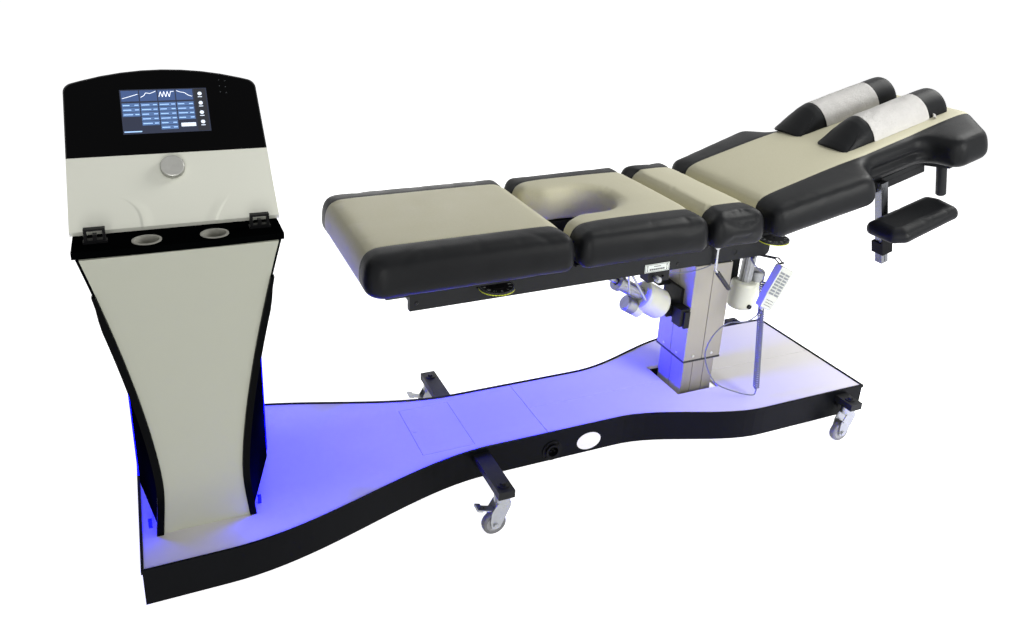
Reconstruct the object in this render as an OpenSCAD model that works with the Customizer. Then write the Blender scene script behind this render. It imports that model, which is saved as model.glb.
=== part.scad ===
// Spinal decompression table on a wheeled base, with a control tower at the foot end.
// X runs along the table, foot end at minus X, head end at plus X. Z is up, the floor is z = 0.
// The side seen by the operator is minus Y.

/* [Base] */
// X of the lifting column axis
column_x = 460; // [380:1:480]
// X of the foot end of the base
base_x0 = -1394; // [-1500:1:-1350]
// X of the head end of the base
base_x1 = 1064; // [950:1:1100]
// half width of the base at its waist
waist_half = 161; // [140:1:190]
// half width of the base at the foot end
foot_half = 340; // [300:1:380]
// half width of the base at the head end
head_half = 286; // [250:1:330]
// X where the base starts to widen toward the foot end
foot_start = -390; // [-500:1:-350]
// length of the widening toward the foot end
foot_run = 800; // [600:10:900]
// X where the base starts to widen toward the head end
head_start = 80; // [0:1:120]
// length of the widening toward the head end
head_run = 520; // [400:10:600]
// height of the underside of the side skin
skin_z0 = 73; // [50:1:100]
// height of the walking surface of the deck
deck_z = 177; // [150:1:200]
// thickness of the deck panels
deck_t = 12; // [8:1:20]
// thickness of the side skin
skin_t = 4; // [3:0.5:6]
// width of the joints between the deck panels
seam = 2; // [1:0.5:4]

/* [Castors] */
// X of the two castors near the middle of the base
castor_xm = -419; // [-500:1:-400]
// X of the two castors at the head end
castor_xh = 962; // [880:1:980]
// distance of the castor bolts from the middle plane
castor_y = 330; // [300:1:360]
// castor wheel radius
wheel_r = 37.5; // [30:0.5:50]
// castor wheel width
wheel_w = 26; // [20:1:32]
// distance of the wheel axle behind the swivel bolt
trail = 24; // [15:1:35]

/* [Tower] */
// X of the middle of the tower
tower_x = -1230; // [-1300:1:-1200]
// half width of the front panel at its top
panel_top = 211; // [180:1:240]
// half width of the front panel at its narrowest
panel_waist = 96; // [80:1:120]
// Y of the foot of the front panel
panel_y = -208; // [-230:1:-190]
// lean of the front panel toward the operator
panel_lean = 4.3; // [0:0.1:8]
// underside of the shelf
shelf_z = 987; // [950:1:1020]
// shelf thickness
shelf_t = 16; // [10:1:24]
// half width of the shelf
shelf_half = 226; // [200:1:250]
// Y of the front edge of the shelf
shelf_y = -270; // [-300:1:-250]
// Y of the lower edge of the console face
face_y = -165; // [-200:1:-130]
// lean of the console face from upright
face_lean = 38.7; // [20:0.1:50]
// half width of the console at its lower edge
face_half = 232; // [200:1:250]
// height of the console face along its slope
face_len = 418; // [380:1:450]

/* [Lifting column] */
// half size of the fixed column along X
col_in_x = 66; // [60:1:70]
// half size of the fixed column along Y
col_in_y = 72; // [66:1:76]
// half size of the sliding sleeve along X
col_out_x = 78; // [75:1:85]
// half size of the sliding sleeve along Y
col_out_y = 84; // [80:1:90]
// height of the lower end of the sleeve
sleeve_z0 = 297; // [280:1:320]

/* [Table top] */
// droop of the lower sections as photographed
flex_rest = 0.9; // [0:0.1:3]
// outer half width of the rail pair
rail_y = 170; // [150:1:200]
// rail thickness
rail_t = 20; // [12:1:25]
// rail depth
rail_h = 82; // [70:1:90]
// cushion half width
cushion_half = 306; // [290:1:320]
// cushion thickness
cushion_h = 112; // [90:1:130]
// height of the seat boards, on which the cushions lie
board_z = 814; // [780:1:850]
// length of the leg cushion
leg_len = 614; // [560:1:660]
// length of the pelvic cushion
pelvic_len = 453; // [430:1:480]
// length of the lumbar cushion
lumbar_len = 206; // [180:1:230]
// gap between two cushions
cushion_gap = 6; // [5:0.5:12]
// slope of the back section as photographed
back_slope = 15.5; // [0:0.5:25]
// half width of the neck of the back section
neck_half = 228; // [200:1:250]
// half width of the head end of the back section
wing_half = 360; // [330:1:380]
// length of the back section
back_len = 985; // [900:5:1050]

/* [Handset cord] */
// cord diameter
cord_d = 4.4; // [3:0.1:6]
// radius of the curls at the cord's middle line
curl_r = 9.6; // [7:0.1:14]
// number of curls
curls = 50; // [30:1:60]
// distance from curl to curl
curl_pitch = 8.4; // [6:0.1:10]

/* [Hidden] */
deck_black = [0.06, 0.06, 0.065];
white_skin = [0.9, 0.9, 0.88];
steel_black = [0.09, 0.09, 0.1];
vinyl_black = [0.07, 0.07, 0.08];
alloy = [0.72, 0.73, 0.75];
zinc = [0.78, 0.79, 0.8];
rubber_grey = [0.5, 0.5, 0.52];
paper_white = [0.93, 0.93, 0.94];
led_blue = [0.15, 0.2, 1];
fine = 64;
mid = 40;
frame_z0 = 96;
frame_z1 = deck_z - deck_t;
beam_y0 = 106;
beam_y1 = 146;
arm_z0 = 138;
arm_z1 = 163;
arm_half = 26;
open_x0 = column_x - 96;
open_x1 = column_x + 82;
open_y = 102;
cross_seam_x = -181;
hatch_x0 = -600;
hatch_x1 = -428;
hatch_y = 130;
axle_z = wheel_r;
swivel_z = 112;
pedal_x = -31;
pedal_z = 84;
shelf_top = shelf_z + shelf_t;
face_z = shelf_top + 10;
split_s = 183;
face_top_half = 221;
board_t = 20;
rail_z0 = board_z - board_t - rail_h;
pivot_z = rail_z0 + 30;
sleeve_z1 = rail_z0 - 50;
lumbar_x1 = column_x + 13;
lumbar_x0 = lumbar_x1 - lumbar_len;
pelvic_x1 = lumbar_x0 - cushion_gap;
pelvic_x0 = pelvic_x1 - pelvic_len;
leg_x1 = pelvic_x0 - cushion_gap - 2;
leg_x0 = leg_x1 - leg_len;
rail_x0 = leg_x0 + 154;
rail_x1 = column_x + 150;
back_x = column_x + 30;
back_z = board_z + cushion_h + 2;
back_board = -cushion_h - 0.3;
hinge_u = 10;
hinge_n = -142;
post_u = 512;
post_v = 222;
flex_pin = [column_x - 460, 0, rail_z0 - 28];
flex_base = [column_x - 118, 0, rail_z0 - 238];
flex_angle = atan2(flex_pin[2] - flex_base[2], flex_base[0] - flex_pin[0]);
rod_pin = [column_x + 236, 0, rail_z0 + 36];
rod_base = [column_x + 214, 0, rail_z0 - 260];
rod_angle = atan2(rod_pin[0] - rod_base[0], rod_pin[2] - rod_base[2]);
dial_leg_x = leg_x1 - 208;
dial_leg_z = rail_z0 + 47;
dial_back_x = column_x + 138;
dial_back_z = rail_z0 + 66;
dial_y = -194;
dial_r = 52;
lever_x = column_x - 82;
lever_z = rail_z0 + 66;
handset_at = [column_x + 138, -232, rail_z0 - 92];
handset_lean = 28;
coil_top = [column_x + 125, -192, rail_z0 - 82];
coil_drift = [33, -20];
gland = [column_x + 92, -160, rail_z0 - 7];
hook = handset_at + [36, 22, 74];
flank_foot = 160;
flank_head = 190;
hinge = back_point(hinge_u, hinge_n);

function smooth(t) = let (u = min(1, max(0, t))) u * u * (3 - 2 * u);
function base_half(x) = waist_half
    + (foot_half - waist_half) * smooth((foot_start - x) / foot_run)
    + (head_half - waist_half) * smooth((x - head_start) / head_run);
function back_point(u, n) = [back_x + u * cos(back_slope) - n * sin(back_slope), 0,
    back_z + u * sin(back_slope) + n * cos(back_slope)];
function unit(v) = v / norm(v);

// points of a rounded corner at p1
function corner(p0, p1, p2, r, n) =
    let (
        a = unit(p0 - p1),
        b = unit(p2 - p1),
        ang = acos(a * b),
        s = p1 + a * r / tan(ang / 2),
        e = p1 + b * r / tan(ang / 2),
        c = p1 + unit(a + b) * r / sin(ang / 2),
        f = 180 - ang
    )
    [for (i = [0:n]) c + ((s - c) * sin((1 - i / n) * f) + (e - c) * sin(i / n * f)) / sin(f)];
function rounded(pts, radii, n) =
    let (m = len(pts))
    [for (i = [0:m - 1]) each corner(pts[(i + m - 1) % m], pts[i], pts[(i + 1) % m], radii[i], n)];
// points of a closed outline that runs anticlockwise, moved inward by d
function inset(pts, d) =
    let (m = len(pts))
    [for (i = [0:m - 1])
        let (
            t = unit(pts[(i + 1) % m] - pts[(i + m - 1) % m])
        )
        pts[i] + d * [-t[1], t[0]]];
// closed skin over a stack of rings with the same number of points; cap lists the faces of one end
module skin_rings(rings, cap = []) {
    m = len(rings[0]);
    k = len(rings);
    pts = [for (r = rings) each r];
    sides = [for (j = [0:k - 2], i = [0:m - 1])
        each [[j * m + i, (j + 1) * m + (i + 1) % m, j * m + (i + 1) % m],
              [j * m + i, (j + 1) * m + i, (j + 1) * m + (i + 1) % m]]];
    end = len(cap) > 0 ? cap : [[for (i = [0:m - 1]) i]];
    top_faces = [for (f = end) [for (i = [len(f) - 1:-1:0]) (k - 1) * m + f[i]]];
    polyhedron(points = pts, faces = concat(end, sides, top_faces), convexity = 8);
}
// cap of a ring that is the same on both sides of the middle plane
function mirror_cap(m) = [for (i = [0:m / 2 - 2]) [i, i + 1, m - 2 - i, m - 1 - i]];
// cap between an outer and an inner run of points, as a fan that steps along both
function zip_cap(outer, inner) =
    let (
        a = [for (i = [0:len(inner) - 2]) round(i * (len(outer) - 1) / (len(inner) - 2))]
    )
    concat([for (i = [0:len(inner) - 2]) [outer[a[i]], inner[i + 1], inner[i]]],
        [for (j = [0:len(outer) - 2]) [outer[j], outer[j + 1], inner[len([for (v = a) if (v <= j) v])]]]);
function flipped(faces) = [for (f = faces) [for (i = [len(f) - 1:-1:0]) f[i]]];
// upholstered block over an outline: drawn in below, rounded shoulders and a crowned top
module cushion(outline, h, cap = []) {
    prof = [[20, 0], [6, 0.08], [0.5, 0.26], [0, 0.46], [5, 0.68], [14, 0.83], [28, 0.93], [46, 0.985]];
    rings = [for (p = prof) [for (q = inset(outline, p[0])) [q[0], q[1], p[1] * h]]];
    skin_rings(rings, cap);
}
// lower sections turned about the flexion pivot
module flexed() {
    translate([column_x, 0, pivot_z]) {
        rotate([0, -flex_rest, 0]) {
            translate([-column_x, 0, -pivot_z]) children();
        }
    }
}
// back section: local x runs up the slope from the start of its top surface, z is square to it
module reclined() {
    translate([back_x, 0, back_z]) rotate([0, -back_slope, 0]) children();
}
module block(x0, x1, y0, y1, z0, z1) {
    translate([x0, y0, z0]) cube([x1 - x0, y1 - y0, z1 - z0]);
}
module rod_y(x, z, y0, y1, r) {
    translate([x, y0, z]) rotate([-90, 0, 0]) cylinder(h = y1 - y0, r = r, $fn = mid);
}
module mirrored_y() {
    children();
    mirror([0, 1, 0]) children();
}

// outline of the base, moved inward by d
module base_outline(d) {
    n = 64;
    xs = [for (i = [0:n]) base_x0 + d + (base_x1 - base_x0 - 2 * d) * i / n];
    near = [for (x = xs) [x, -base_half(x) + d]];
    far = [for (i = [n:-1:0]) [xs[i], base_half(xs[i]) - d]];
    polygon(concat(near, far));
}

// Steel chassis inside the base: two long beams, cross members, castor arms and feet.
module base_frame() {
    foot_x = base_x0 + 110;
    color(steel_black) {
        mirrored_y() {
            difference() {
                block(base_x0 + 30, base_x1 - 30, beam_y0, beam_y1, frame_z0, frame_z1);
                block(base_x0 + 20, base_x1 - 20, beam_y0 + 4, beam_y1 - 4, frame_z0 + 4, frame_z1 - 4);
            }
            for (x = [castor_xm, castor_xh]) {
                difference() {
                    block(x - arm_half, x + arm_half, beam_y1, castor_y + 34, arm_z0, arm_z1);
                    translate([x, castor_y, arm_z0 - 1]) cylinder(h = 30, r = 8.05, $fn = mid);
                }
                translate([x, castor_y, arm_z1]) cylinder(h = 4, r = 17, $fn = mid);
                translate([x, castor_y, arm_z1 + 4]) cylinder(h = 7, r = 9.5, $fn = 6);
                block(x - 16, x + 16, beam_y1, base_half(x) + 12, arm_z0 - 20, arm_z0);
            }
            translate([foot_x, 230, 0]) cylinder(h = 12, r = 28, $fn = mid);
            translate([foot_x, 230, 12]) cylinder(h = frame_z0 - 12, r = 8, $fn = mid);
            translate([foot_x, 230, frame_z0 - 14]) cylinder(h = 14, r = 14, $fn = 6);
            block(foot_x - 40, foot_x + 40, beam_y1, foot_half - skin_t - 8, frame_z0, frame_z0 + 12);
        }
        cross_x = [base_x0 + 30, foot_x + 60, castor_xm - 376, castor_xm - 30, column_x - 315,
            castor_xh - 30];
        for (x = cross_x) {
            block(x, x + 16, -beam_y0 - 2, beam_y0 + 2, frame_z0, frame_z1);
        }
        block(open_x0 - 14, open_x1 + 14, -beam_y0, beam_y0, frame_z0 - 10, frame_z0 + 6);
    }
}

// Black side skin with a proud edge moulding; the castor arms pass through it.
module base_skin() {
    rim_z = deck_z - 7;
    color(deck_black) difference() {
        union() {
            translate([0, 0, skin_z0]) linear_extrude(rim_z - skin_z0) base_outline(0);
            translate([0, 0, rim_z]) linear_extrude(11) base_outline(-3);
        }
        translate([0, 0, skin_z0 - 1]) linear_extrude(120) base_outline(skin_t);
        mirrored_y() {
            for (x = [castor_xm, castor_xh]) {
                block(x - arm_half - 0.2, x + arm_half + 0.2, 100, 400, arm_z0 - 0.2, arm_z1 + 0.2);
                block(x - 16.2, x + 16.2, 100, 400, arm_z0 - 20.2, arm_z0);
            }
        }
        rod_y(column_x - 626, 110, -waist_half - 10, -waist_half + 20, 23);
    }
}

// White deck in three panels: one at the foot end and two beside the column.
module deck_panels() {
    edge = skin_t + 0.1;
    color(white_skin) difference() {
        translate([0, 0, frame_z1]) linear_extrude(deck_t) base_outline(edge);
        block(cross_seam_x - seam / 2, cross_seam_x + seam / 2, -400, 400, frame_z1 - 1, deck_z + 1);
        block(cross_seam_x, base_x1 + 10, -seam / 2, seam / 2, frame_z1 - 1, deck_z + 1);
        block(open_x0, open_x1, -open_y, open_y, frame_z1 - 1, deck_z + 1);
        block(hatch_x0, hatch_x1, -hatch_y, hatch_y, frame_z1 + 4, deck_z + 1);
        block(hatch_x0 + 12, hatch_x1 - 12, -hatch_y + 27, hatch_y - 27, frame_z1 - 1, frame_z1 + 5);
    }
}

// Service hatch in the deck with a small turn latch.
module deck_hatch() {
    lid_z = frame_z1 + 4;
    color([0.86, 0.86, 0.85]) {
        block(hatch_x0 + 1.5, hatch_x1 - 1.5, -hatch_y + 1.5, hatch_y - 1.5, lid_z, deck_z);
        translate([hatch_x0 + 16, 0, deck_z]) cylinder(h = 1, r = 8, $fn = mid);
        translate([hatch_x0 + 16, 0, deck_z + 1]) cube([3, 12, 1.2], center = true);
    }
}

// Swivel fork of a castor: bolt and bearing head over two cheeks, wheel behind.
module castor_fork(x, y) {
    color(zinc) translate([x, y, 0]) {
        translate([0, 0, swivel_z]) cylinder(h = arm_z0 - swivel_z - 0.3, r = 25, $fn = fine);
        translate([0, 0, swivel_z]) cylinder(h = arm_z1 - swivel_z - 0.3, r = 8, $fn = mid);
        for (s = [-1, 1]) {
            difference() {
                translate([0, s * 17 + 1.5, 0]) rotate([90, 0, 0]) linear_extrude(3) {
                    polygon([[-trail - 12, 26], [-trail + 14, 26], [22, 98], [22, swivel_z], [-22, swivel_z],
                        [-38, 84], [-41, 54]]);
                }
                rod_y(pedal_x, pedal_z, -30, 30, 3.05);
            }
        }
        translate([-22, -18.5, swivel_z - 3]) cube([44, 37, 3]);
        rod_y(-trail, axle_z, -21, 21, 5);
        rod_y(-trail, axle_z, -24, -18.5, 8);
        rod_y(-trail, axle_z, 18.5, 24, 8);
    }
}
module castor_fork_near_mid() {
    castor_fork(castor_xm, -castor_y);
}
module castor_fork_near_head() {
    castor_fork(castor_xh, -castor_y);
}
module castor_fork_far_mid() {
    castor_fork(castor_xm, castor_y);
}
module castor_fork_far_head() {
    castor_fork(castor_xh, castor_y);
}

// Grey tyred castor wheel with a hub and a dished web.
module castor_wheel(x, y) {
    color(rubber_grey) translate([x - trail, y - wheel_w / 2, axle_z]) rotate([-90, 0, 0]) {
        rotate_extrude($fn = fine) {
            polygon([[5.05, 0], [14, 0], [14, 5], [26, 5], [26, 1], [wheel_r - 5, 1], [wheel_r - 1, 4],
                [wheel_r, 9], [wheel_r, wheel_w - 9], [wheel_r - 1, wheel_w - 4],
                [wheel_r - 5, wheel_w - 1], [26, wheel_w - 1], [26, wheel_w - 5], [14, wheel_w - 5],
                [14, wheel_w], [5.05, wheel_w]]);
        }
    }
}
module castor_wheel_near_mid() {
    castor_wheel(castor_xm, -castor_y);
}
module castor_wheel_near_head() {
    castor_wheel(castor_xh, -castor_y);
}
module castor_wheel_far_mid() {
    castor_wheel(castor_xm, castor_y);
}
module castor_wheel_far_head() {
    castor_wheel(castor_xh, castor_y);
}

// Brake pedal behind the wheel, hinged on a pin between the cheeks.
module castor_brake(x, y) {
    color(zinc) translate([x + pedal_x, y, pedal_z]) {
        rod_y(0, 0, -18.5, 18.5, 3);
        rotate([0, 18, 0]) translate([-46, -13, 1]) cube([50, 26, 3]);
        rotate([0, 18, 0]) translate([-56, -17, 0]) cube([18, 34, 7]);
    }
}
module castor_brake_near() {
    castor_brake(castor_xm, -castor_y);
}
module castor_brake_far() {
    castor_brake(castor_xm, castor_y);
}

// Black round mains inlet with a flange and four screws on the waist of the base.
module side_socket() {
    sx = column_x - 626;
    color([0.1, 0.1, 0.11]) translate([sx, -base_half(sx), 110]) rotate([90, 0, 0]) {
        difference() {
            union() {
                cylinder(h = 3, r = 36, $fn = fine);
                translate([0, 0, -14]) cylinder(h = 14, r = 22.8, $fn = mid);
                translate([0, 0, 3]) cylinder(h = 7, r = 25, $fn = fine);
                for (a = [45:90:315]) {
                    rotate(a) translate([30.5, 0, 2]) cylinder(h = 3.4, r = 3.4, $fn = mid);
                }
            }
            translate([0, 0, -10]) cylinder(h = 40, r = 18, $fn = mid);
        }
        for (p = [[-7, 0], [7, 0], [0, 8]]) {
            translate([p[0], p[1], -10.5]) cylinder(h = 16, r = 2.4, $fn = mid);
        }
    }
}

// Plain oval label on the side skin.
module base_label() {
    lx = column_x - 489;
    color(paper_white) translate([lx, -base_half(lx), 115]) rotate([90, 0, 0]) {
        scale([1.4, 1, 1]) cylinder(h = 1.2, r = 32, $fn = fine);
    }
}

// half width of the tower front, measured up the panel from its foot
function hourglass(z) = panel_waist
    + (panel_top - panel_waist) * pow(max(0, (z - 330) / (shelf_z - 330)), 1.5)
    + 16 * smooth((330 - z) / 230);
panel_len = (shelf_z - deck_z) / cos(panel_lean);
// plane of the front panel: local y runs up the panel, z points at the operator
module on_panel() {
    translate([tower_x, panel_y, deck_z]) rotate([90 + panel_lean, 0, 0]) children();
}

// White front panel of the tower, waisted like an hourglass.
module tower_panel() {
    n = 24;
    zs = [for (i = [0:n]) 0.7 + (panel_len - 0.7) * i / n];
    left = [for (i = [n:-1:0]) [-hourglass(zs[i] + deck_z), zs[i]]];
    right = [for (z = zs) [hourglass(z + deck_z), z]];
    color(white_skin) on_panel() linear_extrude(7) polygon(concat(left, right));
}

// Black curved trims along both edges of the front panel.
module tower_trims() {
    n = 24;
    top = 720;
    zs = [for (i = [0:n]) 1.2 + top * i / n];
    color(deck_black) on_panel() {
        for (s = [-1, 1]) {
            inner = [for (z = zs) [s * (hourglass(z + deck_z) + 0.6), z]];
            outer = [for (i = [n:-1:0])
                [s * (hourglass(zs[i] + deck_z) + 9 + 9 * smooth((top - zs[i]) / 90)), zs[i]]];
            linear_extrude(14) polygon(concat(inner, outer));
        }
    }
}

// Black body of the tower behind the front panel: thin walls, open below the shelf.
module tower_ring(t, z0, z1, n) {
    skin_rings([for (i = [0:n])
        let (
            z = z0 + (z1 - z0) * i / n,
            w = hourglass(z) + 8 - t,
            y = panel_y + 0.1 + t + tan(panel_lean) * (deck_z - z)
        )
        [[-w, y, z], [w, y, z], [flank_head - t, 30, z], [flank_head - 20 - t, 210 - t, z],
         [-flank_foot + 20 + t, 210 - t, z], [-flank_foot + t, 30, z]]]);
}
module tower_body() {
    color(deck_black) translate([tower_x, 0, 0]) difference() {
        tower_ring(0, deck_z, shelf_z, 18);
        tower_ring(5, deck_z - 2, shelf_z + 2, 18);
    }
}

// Blue light strips on the flanks and at the front corners of the tower.
module tower_lights() {
    color(led_blue) translate([tower_x, 0, deck_z]) {
        for (s = [-1, 1]) {
            translate([s < 0 ? -flank_foot : flank_head, 30, 14]) rotate([0, 0, s * 6.34]) {
                translate([s < 0 ? -5 : 0, 12, 0]) cube([5, 10, 560]);
            }
            translate([s * 139 - 4.5, -182, 0]) cube([9, 9, 24]);
        }
    }
}

// Black shelf under the console with two pale cups sunk in it.
module tower_shelf() {
    cup_y = shelf_y + 40;
    color(deck_black) translate([tower_x, 0, shelf_z]) difference() {
        linear_extrude(shelf_t) polygon([[-shelf_half, shelf_y + 2], [-78, shelf_y - 3], [78, shelf_y - 3],
            [shelf_half, shelf_y + 2], [shelf_half, 150], [150, 216], [-150, 216], [-shelf_half, 150]]);
        for (s = [-1, 1]) {
            translate([s * 73, cup_y, -1]) cylinder(h = shelf_t + 2, r = 28.6, $fn = fine);
        }
    }
    color(paper_white) translate([tower_x, cup_y, shelf_top]) {
        for (s = [-1, 1]) {
            translate([s * 73, 0, 0]) rotate_extrude($fn = fine) {
                polygon([[0, -24], [28.6, -24], [28.6, 0], [32, 0], [32, 1.6], [26.5, 1.6],
                    [26.5, -21.5], [0, -21.5]]);
            }
        }
    }
}

// Buckle sockets for the pelvic belts, one at each end of the shelf.
module belt_buckles() {
    color([0.05, 0.05, 0.06]) translate([tower_x, -212, shelf_top]) {
        for (s = [-1, 1]) {
            translate([s * 178, 0, 0]) difference() {
                union() {
                    block(-22, 22, -8, 8, 0, 34);
                    block(-25, 25, -10, 10, 0, 5);
                }
                block(-16, -4, -10.5, 10.5, 8, 29);
                block(4, 16, -10.5, 10.5, 8, 29);
                block(-4.5, 4.5, -10.5, 10.5, 20, 29);
            }
        }
    }
}

// face of the console: local y runs up the slope, z is square to it toward the operator
module on_face() {
    translate([tower_x, face_y, face_z]) rotate([90 - face_lean, 0, 0]) children();
}
module face_outline(d) {
    side = face_top_half - d;
    polygon(rounded([[-face_half + d, 0], [face_half - d, 0], [side, face_len - 44 - d],
        [0, face_len + 22 - d], [-side, face_len - 44 - d]], [2, 2, 26, 640, 26], 8));
}

// solid of the console between a side profile and the face outline moved inward by d
module console_block(profile, d, front) {
    intersection() {
        translate([tower_x - 240, 0, 0]) rotate([90, 0, 90]) linear_extrude(480) polygon(profile);
        on_face() translate([0, 0, front - 421]) linear_extrude(421) {
            face_outline(d);
            translate([d - face_half, -120]) square([2 * (face_half - d), 123]);
        }
    }
}
// White console housing: hollow, with a sloping front and a closed back, standing on the shelf.
module console_housing() {
    top = [face_y + face_len * sin(face_lean) + 2, face_z + face_len * cos(face_lean)];
    color(white_skin) difference() {
        console_block([[face_y, face_z], [face_y + 4, shelf_top], [186, shelf_top], [186, face_z + 200],
            [150, face_z + 318], top], 0, 1);
        console_block([[face_y + 9, shelf_top + 5], [181, shelf_top + 5], [181, face_z + 198],
            [147, face_z + 311], top + [1, -12]], 6, -10);
        on_face() translate([0, 0, -6]) linear_extrude(8) difference() {
            face_outline(2.5);
            translate([-250, -10]) square([500, split_s + 10]);
        }
        on_face() translate([0, 142, -30]) cylinder(h = 40, r = 7.05, $fn = mid);
    }
}

// Black glass-like bezel over the upper part of the console face.
module console_bezel() {
    color([0.02, 0.02, 0.03]) on_face() translate([0, 0, -5.8]) difference() {
        linear_extrude(6) difference() {
            face_outline(3);
            translate([-250, -10]) square([500, split_s + 10.5]);
        }
        translate([-100, 237, 1]) cube([200, 120, 10]);
    }
}

// Touch screen behind the bezel opening.
module console_screen() {
    color([0.2, 0.35, 0.75]) on_face() translate([-99.8, 237.2, -4.6]) cube([199.6, 119.6, 4.4]);
}

// Silver turn-and-press knob on the console face.
module console_knob() {
    color(alloy) on_face() translate([0, 142, 0]) {
        translate([0, 0, 1.4]) rotate_extrude($fn = fine) {
            polygon([[0, 0], [25, 0], [28, 2], [28, 12], [26.5, 15], [24, 16], [0, 14.5]]);
        }
        translate([0, 0, -26]) cylinder(h = 28, r = 7, $fn = mid);
    }
}

// Fixed inner part of the lifting column, standing on the chassis.
module column_lower() {
    color(alloy) translate([column_x, 0, frame_z0 + 6]) difference() {
        translate([-col_in_x, -col_in_y, 0]) cube([2 * col_in_x, 2 * col_in_y, 423]);
        translate([-col_in_x + 6, -col_in_y + 6, 8]) cube([2 * col_in_x - 12, 2 * col_in_y - 12, 430]);
        for (s = [-1, 1]) {
            for (x = [-26, 24]) {
                translate([x - 1.5, s * col_in_y - 2.5, 1]) cube([3, 5, 430]);
            }
            translate([s * col_in_x - 2.5, -1.5, 1]) cube([5, 3, 430]);
        }
    }
}

// Sliding sleeve of the lifting column, closed at the top.
module column_upper() {
    h = sleeve_z1 - sleeve_z0;
    color(alloy) translate([column_x, 0, sleeve_z0]) difference() {
        translate([-col_out_x, -col_out_y, 0]) cube([2 * col_out_x, 2 * col_out_y, h]);
        translate([-col_out_x + 6, -col_out_y + 6, -1]) cube([2 * col_out_x - 12, 2 * col_out_y - 12, h - 9]);
        for (s = [-1, 1]) {
            translate([-1.5, s * col_out_y - 2.5, -1]) cube([3, 5, h + 2]);
            translate([s * col_out_x - 2.5, -1.5, -1]) cube([5, 3, h + 2]);
        }
    }
}

// Black wiper seal and the screws at the lower end of the sleeve.
module column_seal() {
    g = 0.4;
    color([0.04, 0.04, 0.04]) translate([column_x, 0, sleeve_z0 - 7]) difference() {
        translate([-col_out_x - 1.5, -col_out_y - 1.5, 0]) cube([2 * col_out_x + 3, 2 * col_out_y + 3, 7]);
        translate([-col_in_x - g, -col_in_y - g, -1]) cube([2 * col_in_x + 2 * g, 2 * col_in_y + 2 * g, 9]);
    }
    color(zinc) for (s = [-1, 1]) {
        for (d = [-40, 40]) {
            translate([column_x + d, s * col_out_y, sleeve_z0 + 16]) rotate([s * -90, 0, 0]) {
                cylinder(h = 3, r = 5, $fn = mid);
            }
            translate([column_x + s * col_out_x, d, sleeve_z0 + 16]) rotate([0, s * 90, 0]) {
                cylinder(h = 3, r = 5, $fn = mid);
            }
        }
    }
}

// Black head of the column: pivot cheeks and shaft above, actuator bracket on the foot side.
module column_head() {
    bx = column_x - col_out_x;
    bz = flex_base[2];
    color(steel_black) {
        block(column_x - 74, column_x + 74, -80, 80, sleeve_z1, sleeve_z1 + 12);
        for (s = [-1, 1]) {
            difference() {
                block(column_x - 40, column_x + 40, s * 66 - 7, s * 66 + 7, sleeve_z1 + 12, pivot_z + 22);
                rod_y(column_x, pivot_z, -90, 90, 12);
            }
        }
        rod_y(column_x, pivot_z, -rail_y + 1, rail_y - 1, 12);
        block(bx - 12, bx, -38, 66, bz - 38, bz + 86);
        for (s = [-1, 1]) {
            difference() {
                block(flex_base[0] - 18, bx - 12, s * 24 - 4, s * 24 + 4, bz - 18, bz + 18);
                rod_y(flex_base[0], flex_base[2], -40, 40, 8);
            }
        }
        rod_y(flex_base[0], flex_base[2], -31, 31, 8);
        block(bx - 58, bx - 12, 36, 76, bz + 74, bz + 92);
        block(bx - 40, bx, -84, -38, bz - 34, bz + 30);
        block(bx - 26, bx - 4, -92, -84, bz - 40, bz + 22);
    }
}

// cut-out of the pelvic section, open toward the leg section, moved outward by d
module pelvic_cut(x, d) {
    polygon([[x - 10, -160 - d], [x + 70, -103 - d], [x + 170, -103 - d], [x + 228, -72 - d],
        [x + 243 + d, 0], [x + 228, 72 + d], [x + 170, 103 + d], [x + 70, 103 + d], [x - 10, 160 + d]]);
}
// bar between two points
module bar(p, q, r) {
    d = q - p;
    translate(p) rotate([0, acos(d[2] / norm(d)), atan2(d[1], d[0])]) {
        cylinder(h = norm(d), r = r, $fn = 24);
        sphere(r = r * 1.3, $fn = 24);
    }
}
// ear and pin of a thumb dial on the near rail
module dial_ear(x, z) {
    block(x - 14, x + 14, dial_y - 14, -rail_y, z - 14, z - 7);
    translate([x, dial_y, z - 14]) cylinder(h = 18, r = 6, $fn = mid);
}

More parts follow.
